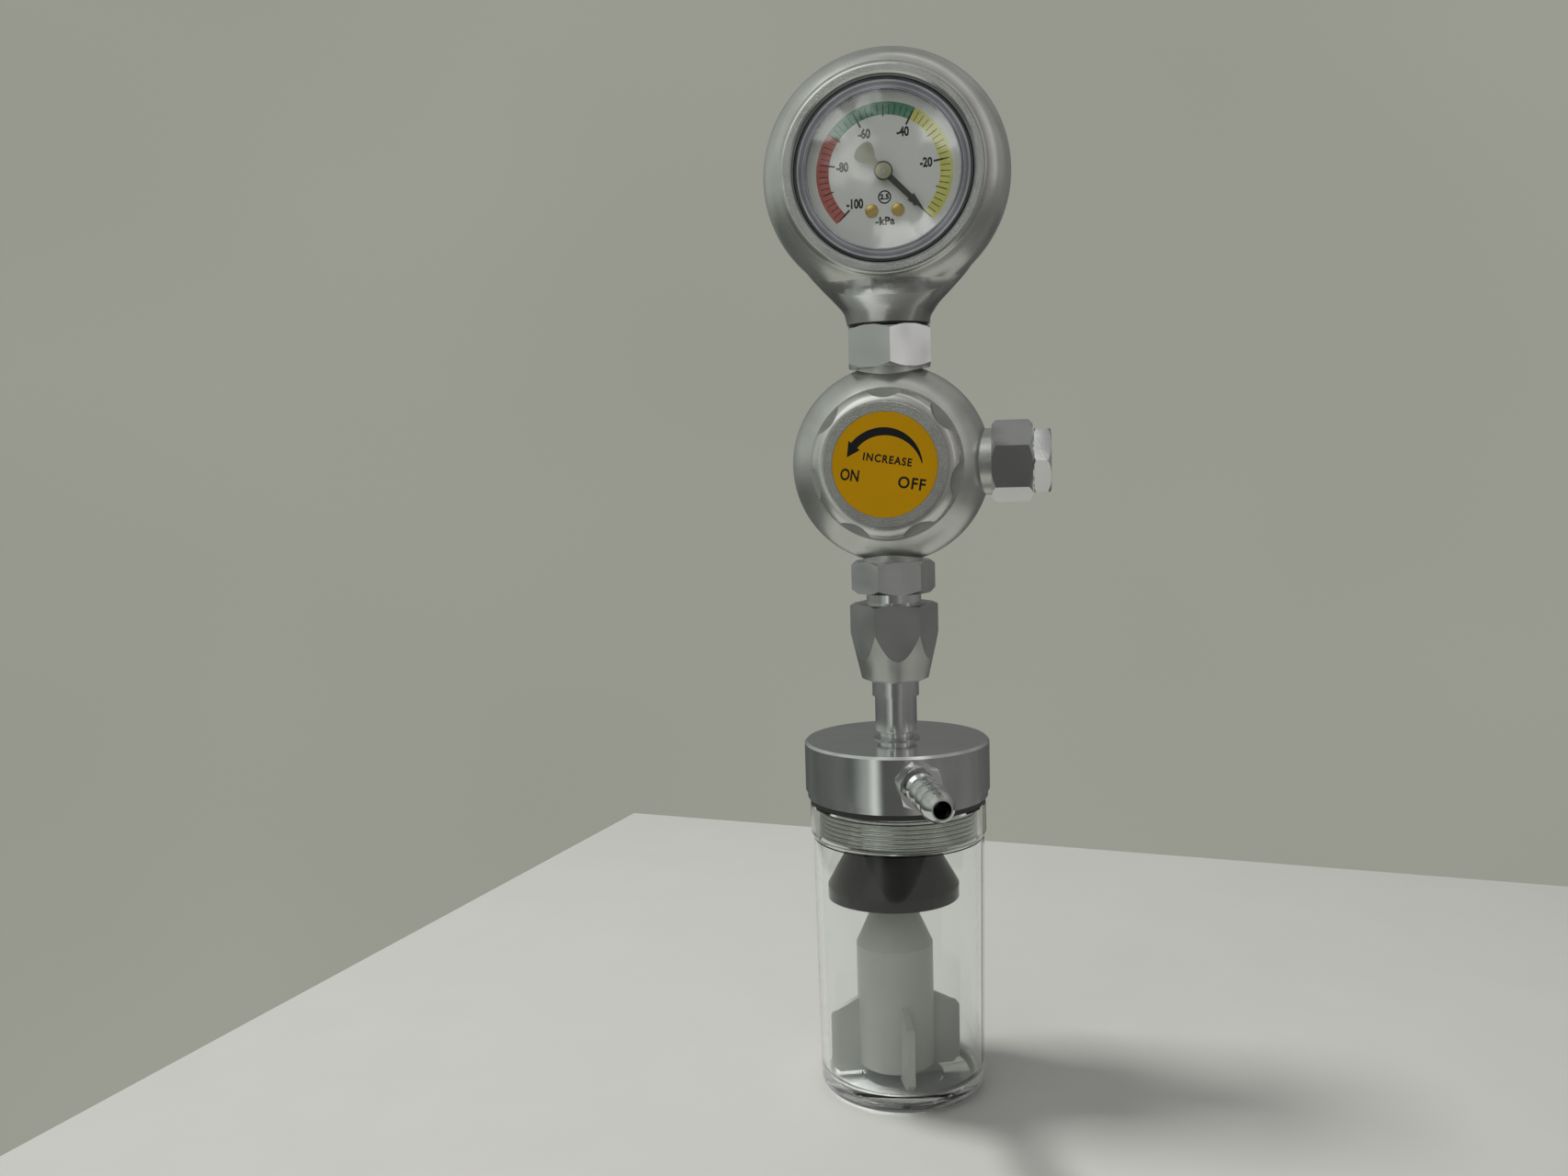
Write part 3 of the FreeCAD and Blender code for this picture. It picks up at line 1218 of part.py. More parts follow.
PIECES = {
    "jar": make_jar,
    "float": make_float,
    "float_cap": make_float_cap,
    "jar_gasket": make_jar_gasket,
    "lid": make_lid,
    "hose_barb": make_hose_barb,
    "tube_washer": make_tube_washer,
    "outlet_tube": make_outlet_tube,
    "hex_adapter": make_hex_adapter,
    "union_tailpiece": make_union_tailpiece,
    "union_seal": make_union_seal,
    "lower_union_nut": make_lower_union_nut,
    "regulator_body": make_regulator_body,
    "bonnet": make_bonnet,
    "bonnet_seal": make_bonnet_seal,
    "spindle_packing": make_spindle_packing,
    "spindle": make_spindle,
    "valve_disc": make_valve_disc,
    "valve_pad": make_valve_pad,
    "valve_seat": make_valve_seat,
    "knob": make_knob,
    "knob_screw": make_knob_screw,
    "knob_label": make_knob_label,
    "side_seal": make_side_seal,
    "side_union_nut": make_side_union_nut,
    "side_nipple": make_side_nipple,
    "gauge_nut": make_gauge_nut,
    "gauge_seal": make_gauge_seal,
    "gauge_gasket": make_gauge_gasket,
    "gauge_housing": make_gauge_housing,
    "lens": make_lens,
    "lens_seal": make_lens_seal,
    "dial": make_dial,
    "dial_screws": make_dial_screws,
    "gauge_socket": make_gauge_socket,
    "bourdon_tube": make_bourdon_tube,
    "pointer_arbor": make_pointer_arbor,
    "sector_gear": make_sector_gear,
    "tip_link": make_tip_link,
    "front_plate": make_front_plate,
    "back_plate": make_back_plate,
    "plate_pillars": make_plate_pillars,
    "pointer": make_pointer,
}


def checked(label, piece):
    if piece.Shape.isNull() or not piece.Shape.isValid() or not piece.Shape.Solids:
        raise ValueError("the shape of %s is not a valid solid" % label)
    return piece.Shape


pieces = {}
for label, make in PIECES.items():
    pieces[label] = make()
    pieces[label].Label = label
document.recompute()
for item in document.Objects:
    if "Invalid" in item.State or "Error" in item.State:
        raise ValueError("%s failed: %s" % (item.Name, item.State))
shapes = {label: checked(label, piece) for label, piece in pieces.items()}
os.makedirs("parts", exist_ok=True)
for label, shape in shapes.items():
    shape.exportStep("parts/%s.step" % label)
    print("%-16s %d solid(s), %9.1f mm3" % (label, len(shape.Solids), shape.Volume))
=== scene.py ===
import math

import bmesh
import bpy
from mathutils import Matrix, Vector


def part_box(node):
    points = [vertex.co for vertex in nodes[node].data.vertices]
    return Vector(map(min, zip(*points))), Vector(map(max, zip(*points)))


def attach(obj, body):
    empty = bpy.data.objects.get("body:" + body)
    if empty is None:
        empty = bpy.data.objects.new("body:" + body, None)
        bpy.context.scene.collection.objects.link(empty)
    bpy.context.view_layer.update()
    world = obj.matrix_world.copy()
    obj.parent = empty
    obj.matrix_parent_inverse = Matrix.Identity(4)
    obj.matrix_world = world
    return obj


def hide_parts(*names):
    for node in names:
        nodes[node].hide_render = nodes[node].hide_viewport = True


# Vacuum regulator: the looks of its trap jar, valve and gauge. Metres, +Z up, the knob faces -Y.

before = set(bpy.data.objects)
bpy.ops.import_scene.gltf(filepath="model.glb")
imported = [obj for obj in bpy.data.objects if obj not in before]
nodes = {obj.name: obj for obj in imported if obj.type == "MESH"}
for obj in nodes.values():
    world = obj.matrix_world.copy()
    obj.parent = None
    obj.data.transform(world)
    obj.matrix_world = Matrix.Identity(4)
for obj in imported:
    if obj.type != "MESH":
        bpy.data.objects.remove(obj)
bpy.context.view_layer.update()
mm = 0.001
print("frame loaded:", len(nodes), "nodes")


# Sockets that Python's operators work on

class Wire:  # one output socket of a shader tree
    def __init__(self, tree, socket):
        self.tree = tree
        self.socket = socket

    def sums(self, operation, first, second):
        return self.tree.node("ShaderNodeMath", {"operation": operation}, {0: first, 1: second})

    def __add__(self, other):
        return self.sums("ADD", self, other)

    def __radd__(self, other):
        return self.sums("ADD", other, self)

    def __sub__(self, other):
        return self.sums("SUBTRACT", self, other)

    def __rsub__(self, other):
        return self.sums("SUBTRACT", other, self)

    def __mul__(self, other):
        return self.sums("MULTIPLY", self, other)

    def __rmul__(self, other):
        return self.sums("MULTIPLY", other, self)

    def __truediv__(self, other):
        return self.sums("DIVIDE", self, other)

    def __rtruediv__(self, other):
        return self.sums("DIVIDE", other, self)

    def __pow__(self, other):
        return self.sums("POWER", self, other)

    def __gt__(self, other):
        return self.sums("GREATER_THAN", self, other)

    def __lt__(self, other):
        return self.sums("LESS_THAN", self, other)

    def __abs__(self):
        return self.sums("ABSOLUTE", self, 0)


class Tree:  # a node tree that is written as calls
    def __init__(self, nodeTree):
        self.nodeTree = nodeTree

    def node(self, kind, settings=None, values=None, output=0):
        made = self.nodeTree.nodes.new(kind)
        for name, setting in (settings or {}).items():
            if name == "stops":
                fillRamp(made.color_ramp, setting)
            else:
                setattr(made, name, setting)
        for name, value in (values or {}).items():
            socket = made.inputs[name]
            if isinstance(value, Wire):
                self.nodeTree.links.new(value.socket, socket)
            else:
                socket.default_value = value
        return Wire(self, made.outputs[output])

    def mixed(self, share, first, second):
        return self.node("ShaderNodeMix", {"data_type": "RGBA"}, {0: share, 6: first, 7: second}, 2)

    def place(self):  # the point on the object, in metres
        return self.node("ShaderNodeTexCoord", {}, {}, "Object")

    def axes(self, point):
        parts = self.nodeTree.nodes.new("ShaderNodeSeparateXYZ")
        self.nodeTree.links.new(point.socket, parts.inputs[0])
        return [Wire(self, socket) for socket in parts.outputs]

    def joinedAxes(self, x, y, z=0.0):
        return self.node("ShaderNodeCombineXYZ", {}, {"X": x, "Y": y, "Z": z})

    def stretched(self, point, scale):
        return self.node("ShaderNodeVectorMath", {"operation": "MULTIPLY"}, {0: point, 1: scale})

    def scaled(self, colour, brightness):
        return self.node("ShaderNodeVectorMath", {"operation": "SCALE"}, {0: colour, "Scale": brightness})

    def noise(self, point, scale, detail=2.0):
        return self.node("ShaderNodeTexNoise", {}, {"Vector": point, "Scale": scale, "Detail": detail})

    def ramp(self, factor, stops, mode="LINEAR"):
        return self.node("ShaderNodeValToRGB", {"stops": (stops, mode)}, {"Fac": factor})

    def between(self, value, low, high, newLow, newHigh, kind="LINEAR"):
        return self.node("ShaderNodeMapRange", {"interpolation_type": kind}, {
            "Value": value, "From Min": low, "From Max": high, "To Min": newLow, "To Max": newHigh})

    def eased(self, value, low, high, newLow, newHigh):
        return self.between(value, low, high, newLow, newHigh, "SMOOTHSTEP")

    def spread(self, pattern, low, high):  # a noise pattern's middle values, spread from low to high
        return self.between(pattern, 0.3, 0.7, low, high)

    def bump(self, height, strength, distance, below=None):
        values = {"Height": height, "Strength": strength, "Distance": distance}
        if below is not None:
            values["Normal"] = below
        return self.node("ShaderNodeBump", {}, values)


def fillRamp(ramp, setting):
    stops, ramp.interpolation = setting
    while len(ramp.elements) < len(stops):
        ramp.elements.new(0.5)
    for element, (place, colour) in zip(ramp.elements, stops):
        element.position = place
        element.color = colour


def newFinish(name, make, **constants):
    material = bpy.data.materials.new(name)
    material.use_nodes = True
    tree = Tree(material.node_tree)
    shader = material.node_tree.nodes["Principled BSDF"]
    for socket, value in constants.items():
        shader.inputs[socket.replace("_", " ")].default_value = value
    for socket, value in make(tree).items():
        if isinstance(value, Wire):
            material.node_tree.links.new(value.socket, shader.inputs[socket])
        else:
            shader.inputs[socket].default_value = value
    return material


# Metals

metalLook = {
    "aluminium": (0.59, 0.60, 0.57, 1),
    "knob": (0.65, 0.655, 0.62, 1),
    "satin": (0.49, 0.50, 0.48, 1),
    "chrome": (0.66, 0.67, 0.66, 1),
    "lid": (0.72, 0.73, 0.72, 1),
    "thread": (0.44, 0.45, 0.44, 1),
    "brass": (0.60, 0.42, 0.13, 1),
    "bronze": (0.50, 0.30, 0.13, 1),
    "steel": (0.46, 0.46, 0.47, 1),
}
# painted shade on the housing's neck, darker low down: the colour's share low down,
# and the heights from the dial's middle between which it rises to 1
neckPaintedShade = (0.50, -46 * mm, -27 * mm)
# the fan settings paint sheen: bands of lighter and darker colour that stand in for a turned face's
# highlights
turnedLook = {"fine": 4500, "coarse": 1400, "fineShare": 0.9, "grooveDepth": 0.02 * mm,
              "sheenFans": 2.6, "sheenFanDepth": 6, "sheenFanTint": 0.09, "smoother": 0.03, "rougher": 0.04}
smearedLook = {"patches": 60, "tint": 0.05, "smoother": 0.8, "rougher": 1.25, "grainDepth": 0.03 * mm,
               "waves": 110, "waveDepth": 1.0 * mm}


def tinted(tree, colour, amount, pattern):  # a colour that the pattern makes a little darker or lighter
    darker = tuple(c * (1 - amount) for c in colour[:3]) + (1,)
    lighter = tuple(min(1, c * (1 + amount)) for c in colour[:3]) + (1,)
    return tree.mixed(tree.spread(pattern, 0, 1), darker, lighter)


def turnedPlace(tree, height):  # across, depth, up and radius from an axis that runs along Y
    x, y, z = tree.axes(tree.place())
    up = z - height
    return x, y, up, (x * x + up * up) ** 0.5


def turnedAluminium(name, base, height, roughness, grooves, paintedShade=None):
    look = turnedLook

    def make(tree):
        x, depth, up, radius = turnedPlace(tree, height)
        along = tree.joinedAxes(radius, depth)
        fine = tree.noise(along, look["fine"], 1.0)
        coarse = tree.noise(along, look["coarse"])
        spoke = tree.joinedAxes(x / radius, depth * look["sheenFanDepth"], up / radius)
        sheenFans = tree.noise(spoke, look["sheenFans"])  # painted sheen: light and dark bands, from a turned face's middle outwards, that stand in for its highlights
        rough = tree.between(coarse, 0.25, 0.75, roughness - look["smoother"], roughness + look["rougher"])
        lines = fine * look["fineShare"] + coarse * (1 - look["fineShare"])
        # painted sheen: the fan bands make the colour lighter and darker
        colour = tinted(tree, base, look["sheenFanTint"], sheenFans)
        if paintedShade:
            share, start, end = paintedShade
            # painted shade: the neck's colour is mixed towards black low down
            colour = tree.mixed(tree.eased(up, start, end, 1 - share, 0), colour, (0, 0, 0, 1))
        marks = tree.bump(lines, grooves, look["grooveDepth"])
        return {"Base Color": colour, "Roughness": rough, "Normal": marks}
    return newFinish(name, make, Metallic=1.0)


def smearedMetal(name, colour, roughness, stretch, grain, strength, wavy=0.0):
    # stretch lets the grain run round or along the piece; wavy bends flat faces a little
    look = smearedLook

    def make(tree):
        point = tree.place()
        lines = tree.noise(tree.stretched(point, stretch), grain)
        patches = tree.noise(point, look["patches"], 3.0)
        waves = tree.bump(tree.noise(point, look["waves"], 0.0), wavy, look["waveDepth"])
        return {"Base Color": tinted(tree, metalLook[colour], look["tint"], patches),
                "Roughness": tree.spread(patches, roughness * look["smoother"], roughness * look["rougher"]),
                "Normal": tree.bump(lines, strength, look["grainDepth"], waves)}
    return newFinish(name, make, Metallic=1.0)


def middleHeight(name):
    low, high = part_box(name)
    return (low.z + high.z) / 2


bodyHeight = middleHeight("knob_label")
dialHeight = middleHeight("dial")
ballMetal = turnedAluminium("ballSatin", metalLook["aluminium"], bodyHeight, 0.32, 0.40)
knobMetal = turnedAluminium("knobSatin", metalLook["knob"], bodyHeight, 0.27, 0.05)
housingMetal = turnedAluminium("housingSatin", metalLook["aluminium"], dialHeight, 0.25, 0.05,
                               neckPaintedShade)
# colour, roughness, stretch of the grain, its scale and strength, waviness
chromePlate = smearedMetal("chromePlate", "chrome", 0.07, (1, 1, 1), 300, 0.04)
tubePlate = smearedMetal("tubePlate", "chrome", 0.20, (1, 1, 5), 500, 0.15)
lidPlate = smearedMetal("lidPlate", "lid", 0.10, (0.4, 0.4, 8), 500, 0.06)
threadPlate = smearedMetal("threadPlate", "thread", 0.13, (1, 1, 4), 400, 0.04)
milledPlate = smearedMetal("milledPlate", "satin", 0.33, (8, 8, 0.5), 350, 0.25, 0.3)
nutPlate = smearedMetal("nutPlate", "chrome", 0.14, (6, 6, 0.3), 260, 0.30, 0.25)
gaugeNutPlate = smearedMetal("gaugeNutPlate", "chrome", 0.06, (1, 1, 1), 300, 0.04, 0.16)
brass = smearedMetal("brass", "brass", 0.25, (1, 4, 1), 900, 0.2)
bronze = smearedMetal("bronze", "bronze", 0.32, (1, 3, 1), 900, 0.2)
steel = smearedMetal("steel", "steel", 0.25, (1, 6, 1), 900, 0.2)


# Plastics, rubber and paint

softLook = {"patches": 70, "smoother": 0.85, "rougher": 1.15, "grainDepth": 0.04 * mm}


def plainFinish(name, colour, roughness, grain, strength, amount=0.04, **constants):
    look = softLook

    def make(tree):
        point = tree.place()
        patches = tree.noise(point, look["patches"], 3.0)
        return {"Base Color": tinted(tree, colour, amount, patches),
                "Roughness": tree.spread(patches, roughness * look["smoother"], roughness * look["rougher"]),
                "Normal": tree.bump(tree.noise(point, grain), strength, look["grainDepth"])}
    return newFinish(name, make, **constants)


# colour, roughness, scale and strength of the grain, how uneven the colour is
# the float's white plastic is given a mid grey: partly its own off-white colour, partly painted shade for the
# shade inside the jar
shadedWhitePlastic = plainFinish("shadedWhitePlastic", (0.48, 0.49, 0.47, 1), 0.34, 500, 0.12)
greySeal = plainFinish("greySeal", (0.22, 0.225, 0.23, 1), 0.4, 900, 0.2, 0.15)
sealRubber = plainFinish("sealRubber", (0.020, 0.020, 0.020, 1), 0.5, 900, 0.3, 0.15)
capRubber = plainFinish("capRubber", (0.005, 0.006, 0.005, 1), 0.13, 500, 0.03, 0.12, Specular_IOR_Level=0.15)
dialPaint = plainFinish("dialPaint", (0.80, 0.81, 0.80, 1), 0.5, 1500, 0.1, 0.015)
printBlack = plainFinish("printBlack", (0.010, 0.011, 0.012, 1), 0.6, 1500, 0.1, 0.2, Specular_IOR_Level=0.15)
labelFilm = plainFinish("labelFilm", (0.51, 0.265, 0.002, 1), 0.5, 1200, 0.10, 0.03, Specular_IOR_Level=0.05)

# floor and edge are painted shade: greys that darken the jar's floor and its outer foot
jarLook = {"wall": (0.965, 0.985, 0.975, 1), "floor": (0.74, 0.74, 0.78, 1), "edge": (0.20, 0.21, 0.23, 1),
           "floorTop": 7.0 * mm, "edgeTop": 5.0 * mm, "edgeFrom": 23.0 * mm, "edgeWidth": 3.0 * mm,
           "roughness": 0.02, "bending": 1.42, "waves": 60, "waveStretch": (1, 1, 0.35),
           "waveStrength": 0.05, "waveDepth": 0.4 * mm}
lensLook = {
    "tint": (0.98, 0.99, 0.985, 1), "roughness": 0.01, "bending": 1.49,
    "waves": 70, "waveStrength": 0.07, "waveDepth": 0.5 * mm,
    "rimFrom": 24.0 * mm, "rimTo": 28.4 * mm, "rimFade": 0.5 * mm, "rimMetal": 0.35, "rimRoughness": 0.12,
    # the rim's greys from its inner to its outer edge, painted reflections with painted shade at the outer
    # edge: share of its width, brightness
    "rim": ((0.00, 0.50), (0.11, 0.60), (0.20, 0.38), (0.27, 0.70), (0.35, 0.25), (0.52, 0.19), (0.60, 0.30),
            (0.68, 0.42), (0.74, 0.20), (0.78, 0.02), (1.00, 0.012)),
    "rimTint": (0.95, 0.97, 1.03), "rimDarkPatches": (0.05, 0.05, 0.06, 1), "rimDarkPatchMost": 0.45,
    "arcs": 2600, "arcStrength": 0.4, "arcDepth": 0.1 * mm, "patches": 75,
}
lampTint = (0.94, 0.95, 0.95, 1)


def clearMaterial(name, make, bending, cover=None):
    # Rays from the lamps pass, so that what stands inside is lit. A cover lays more over the clear plastic.
    material = newFinish(name, make, Transmission_Weight=1.0, IOR=bending)
    tree = Tree(material.node_tree)
    body = Wire(tree, material.node_tree.nodes["Principled BSDF"].outputs[0])
    if cover:
        body = cover(tree, body)
    lamps = tree.node("ShaderNodeLightPath", {}, {}, "Is Shadow Ray")
    through = tree.node("ShaderNodeBsdfTransparent", {}, {"Color": lampTint})
    both = tree.node("ShaderNodeMixShader", {}, {0: lamps, 1: body, 2: through})
    material.node_tree.links.new(both.socket, material.node_tree.nodes["Material Output"].inputs["Surface"])
    return material


def jarPlastic():  # painted shade: its floor is coloured darker than its wall, and the floor's thick outer edge darkest
    look = jarLook

    def make(tree):
        point = tree.place()
        x, y, z = tree.axes(point)
        waves = tree.noise(tree.stretched(point, look["waveStretch"]), look["waves"], 1.0)
        floorShadeShare = tree.eased(z, 0.6 * look["floorTop"], look["floorTop"], 1, 0)
        tint = tree.mixed(floorShadeShare, look["wall"], look["floor"])
        out = tree.eased((x * x + y * y) ** 0.5, look["edgeFrom"], look["edgeFrom"] + look["edgeWidth"], 0, 1)
        footShadeShare = tree.eased(z, 0.3 * look["edgeTop"], look["edgeTop"], 1, 0)
        # painted shade: the outer foot is mixed towards the darkest grey
        tint = tree.mixed(out * footShadeShare, tint, look["edge"])
        return {"Base Color": tint, "Roughness": look["roughness"],
                "Normal": tree.bump(waves, look["waveStrength"], look["waveDepth"])}
    return clearMaterial("clearPlastic", make, look["bending"])


def lensPlastic():  # clear in the middle; its rim is opaque greys of painted reflections and painted shade
    look = lensLook
    rimPaintedGreys = [(place, tuple(tint * grey for tint in look["rimTint"]) + (1,)) for place, grey in look["rim"]]

    def make(tree):
        waves = tree.noise(tree.place(), look["waves"])
        return {"Base Color": look["tint"], "Roughness": look["roughness"],
                "Normal": tree.bump(waves, look["waveStrength"], look["waveDepth"])}

    def cover(tree, clear):
        x, depth, up, radius = turnedPlace(tree, dialHeight)
        arcs = tree.noise(tree.joinedAxes(radius, depth), look["arcs"])
        patches = tree.noise(tree.place(), look["patches"])
        # painted reflections and painted shade: rings of grey across the rim, darkest at its outer edge
        rings = tree.ramp(tree.between(radius, look["rimFrom"], look["rimTo"], 0, 1), rimPaintedGreys)
        # darker patches laid over the rim's painted reflections
        rimDarkPatches = tree.between(arcs * 0.4 + patches * 0.6, 0.38, 0.62, look["rimDarkPatchMost"], 0)
        rim = tree.node("ShaderNodeBsdfPrincipled", {}, {
            "Base Color": tree.mixed(rimDarkPatches, rings, look["rimDarkPatches"]), "Metallic": look["rimMetal"],
            "Roughness": look["rimRoughness"],
            "Normal": tree.bump(arcs, look["arcStrength"], look["arcDepth"])})
        edge = tree.eased(radius, look["rimFrom"], look["rimFrom"] + look["rimFade"], 0, 1)
        return tree.node("ShaderNodeMixShader", {}, {0: edge, 1: clear, 2: rim})
    return clearMaterial("clearWindow", make, look["bending"], cover)


clearPlastic = jarPlastic()
clearWindow = lensPlastic()

pointerLook = {"hubRadius": 2.9 * mm, "rim": 0.35 * mm, "dotRadius": 0.75 * mm, "hub": (0.40, 0.39, 0.27, 1),
               "arm": (0.006, 0.008, 0.010, 1), "spade": (0.20, 0.20, 0.12, 1)}


def pointerFinish():
    look = pointerLook

    def make(tree):
        x, depth, up, radius = turnedPlace(tree, dialHeight)
        hub = (radius < look["hubRadius"] - look["rim"]) * (radius > look["dotRadius"])
        spade = (up > x) * (radius > look["hubRadius"])  # the tip rests down and to the right, at 45 degrees
        grain = tree.noise(tree.place(), 900)
        ink = tree.mixed(spade, look["arm"], look["spade"])
        return {"Base Color": tree.mixed(hub, ink, look["hub"]), "Roughness": tree.spread(grain, 0.30, 0.42),
                "Metallic": hub * 0.9 + spade * 0.6}
    return newFinish("pointerPaint", make)


pointerPaint = pointerFinish()

finishes = {
    "jar": clearPlastic, "lens": clearWindow, "lens_seal": greySeal, "float": shadedWhitePlastic,
    "float_cap": capRubber, "lid": lidPlate, "hose_barb": chromePlate, "tube_washer": steel,
    "outlet_tube": tubePlate, "hex_adapter": milledPlate, "union_tailpiece": chromePlate,
    "lower_union_nut": nutPlate, "regulator_body": ballMetal, "bonnet": brass, "spindle": steel,
    "valve_disc": brass, "valve_seat": brass, "knob": knobMetal, "knob_screw": steel, "knob_label": labelFilm,
    "side_union_nut": nutPlate, "side_nipple": nutPlate, "gauge_nut": gaugeNutPlate,
    "gauge_housing": housingMetal, "dial": dialPaint, "dial_screws": brass, "gauge_socket": brass,
    "bourdon_tube": bronze, "pointer_arbor": steel, "sector_gear": brass, "tip_link": brass,
    "front_plate": brass, "back_plate": brass, "plate_pillars": brass, "pointer": pointerPaint,
}
for name, piece in nodes.items():
    finish = finishes.get(name, sealRubber)  # the rest are gaskets, seals and the valve's pad
    if not piece.material_slots:
        piece.data.materials.append(finish)
    for slot in piece.material_slots:
        slot.material = finish
print("finishes given to the frame")


# Mesh helpers

weldGap = 0.0001 * mm


def keepPiece(name, mesh, body, finish):
    piece = bpy.data.objects.new(name, mesh)
    bpy.context.scene.collection.objects.link(piece)
    mesh.materials.clear()
    mesh.materials.append(finish)
    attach(piece, body)
    return piece


def frontFacing(x, face, z, turn=0.0):  # lays a flat shape's front towards -Y, turned clockwise
    return (Matrix.Translation(Vector((x, face, z))) @ Matrix.Rotation(turn, 4, "Y")
            @ Matrix.Rotation(math.radians(90), 4, "X"))


def plainMesh(piece):  # the evaluated object as a mesh with no modifiers
    bpy.context.view_layer.update()
    evaluated = piece.evaluated_get(bpy.context.evaluated_depsgraph_get())
    mesh = bpy.data.meshes.new_from_object(evaluated)
    bpy.data.objects.remove(piece)
    return mesh


def savedMesh(name, shape):
    mesh = bpy.data.meshes.new(name)
    shape.to_mesh(mesh)
    shape.free()
    return mesh


def thickened(mesh, thick):  # closes a flat mesh into a thin plate whose back lies on its plane
    shape = bmesh.new()
    shape.from_mesh(mesh)
    bmesh.ops.remove_doubles(shape, verts=shape.verts, dist=weldGap)
    bmesh.ops.recalc_face_normals(shape, faces=shape.faces)
    for face in shape.faces:
        if face.normal.z > 0:
            face.normal_flip()
    raised = bmesh.ops.extrude_face_region(shape, geom=shape.faces[:])
    tops = [item for item in raised["geom"] if isinstance(item, bmesh.types.BMVert)]
    bmesh.ops.translate(shape, verts=tops, vec=(0, 0, thick))
    bmesh.ops.recalc_face_normals(shape, faces=shape.faces)
    shape.to_mesh(mesh)
    shape.free()
    return mesh


capitalShare = 0.72  # a capital's height in Blender's own font, as a share of the text's size


def textMesh(words, height, narrow, thick, bold=0.0, spacing=1.0):
    curve = bpy.data.curves.new(words, "FONT")
    curve.offset = bold
    curve.space_character = spacing
    curve.body = words
    curve.align_x = "CENTER"
    curve.align_y = "CENTER"
    curve.size = height / capitalShare
    curve.resolution_u = 4
    piece = bpy.data.objects.new(words, curve)
    bpy.context.scene.collection.objects.link(piece)
    mesh = plainMesh(piece)
    mesh.transform(Matrix.Diagonal((narrow, 1, 1, 1)))
    return thickened(mesh, thick)


def outlineMesh(name, points, thick):
    shape = bmesh.new()
    shape.faces.new([shape.verts.new((x, y, 0)) for x, y in points])
    return thickened(savedMesh(name, shape), thick)


def arcMesh(name, inner, outer, start, sweep, steps, thick):  # a flat band between two radii
    shape = bmesh.new()
    before = None
    for step in range(steps + 1):
        turn = math.radians(start + sweep * step / steps)
        pair = [shape.verts.new((radius * math.cos(turn), radius * math.sin(turn), 0))
                for radius in (inner, outer)]
        if before:
            shape.faces.new((before[0], before[1], pair[1], pair[0]))
        before = pair
    return thickened(savedMesh(name, shape), thick)


def turnedMesh(name, outline, steps=64):  # outline: (radius, along) pairs of a closed ring round Z
    shape = bmesh.new()
    rings = []
    for step in range(steps):
        turn = 2 * math.pi * step / steps
        rings.append([shape.verts.new((r * math.cos(turn), r * math.sin(turn), up)) for r, up in outline])
    for step in range(steps):
        near, far = rings[step], rings[(step + 1) % steps]
        for index in range(len(outline)):
            after = (index + 1) % len(outline)
            shape.faces.new((near[index], near[after], far[after], far[index]))
    bmesh.ops.recalc_face_normals(shape, faces=shape.faces)
    return savedMesh(name, shape)


def joined(name, meshes):
    shape = bmesh.new()
    for mesh in meshes:
        shape.from_mesh(mesh)
    return savedMesh(name, shape)


# Geometry trees

class ShapeTree(Tree):  # a tree of geometry nodes with named inputs
    def __init__(self, name, inputs):
        super().__init__(bpy.data.node_groups.new(name, "GeometryNodeTree"))
        self.values = {}
        for label, (kind, value) in inputs.items():
            socket = self.nodeTree.interface.new_socket(
                label, in_out="INPUT", socket_type="NodeSocket" + kind)
            self.values[socket.identifier] = value
        self.nodeTree.interface.new_socket("Geometry", in_out="OUTPUT", socket_type="NodeSocketGeometry")
        self.start = self.nodeTree.nodes.new("NodeGroupInput")

    def given(self, label):
        return Wire(self, self.start.outputs[label])

    def result(self, geometry, finish):
        real = self.node("GeometryNodeRealizeInstances", {}, {"Geometry": geometry})
        painted = self.node("GeometryNodeSetMaterial", {}, {"Geometry": real, "Material": finish})
        end = self.nodeTree.nodes.new("NodeGroupOutput")
        self.nodeTree.links.new(painted.socket, end.inputs[0])
        piece = bpy.data.objects.new(self.nodeTree.name, bpy.data.meshes.new("empty"))
        bpy.context.scene.collection.objects.link(piece)
        grower = piece.modifiers.new("grower", "NODES")
        grower.node_group = self.nodeTree
        for identifier, value in self.values.items():
            grower[identifier] = value
        return plainMesh(piece)


# Gauge dial

dialLook = {
    "zero": -45.0, "sweep": 270.0, "span": 100.0,
    "bandLow": 17.6 * mm, "bandHigh": 21.6 * mm, "bandSteps": 135,
    "red": (0.52, 0.07, 0.055, 1), "green": (0.030, 0.25, 0.145, 1), "yellow": (0.72, 0.71, 0.10, 1),
    "worn": (0.9, 0.9, 0.88, 1), "wear": 0.10, "redFrom": 70.0, "greenFrom": 40.0, "printThick": 0.03 * mm,
    "numbers": {"-100": 100, "-80": 80, "-60": 60, "-40": 40, "-20": 20, "0": 0},
    "numberRadius": 13.4 * mm, "numberHeight": 2.85 * mm, "narrow": 0.74, "bold": 0.16 * mm,
    # words, distance below the middle, height
    "smallWords": (("-kPa", 15.2 * mm, 2.45 * mm), ("2.5", 7.7 * mm, 1.6 * mm)),
    "smallNarrow": 0.95, "smallBold": 0.128 * mm, "smallSpacing": 1.1,
    "ringRadius": 2.1 * mm, "ringWidth": 0.45 * mm, "ringBelow": 7.7 * mm, "ringSteps": 48,
}
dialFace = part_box("dial")[0].y


def dialPoint(radius, value):
    turn = math.radians(dialLook["zero"] + dialLook["sweep"] * value / dialLook["span"])
    return radius * math.cos(turn), radius * math.sin(turn)


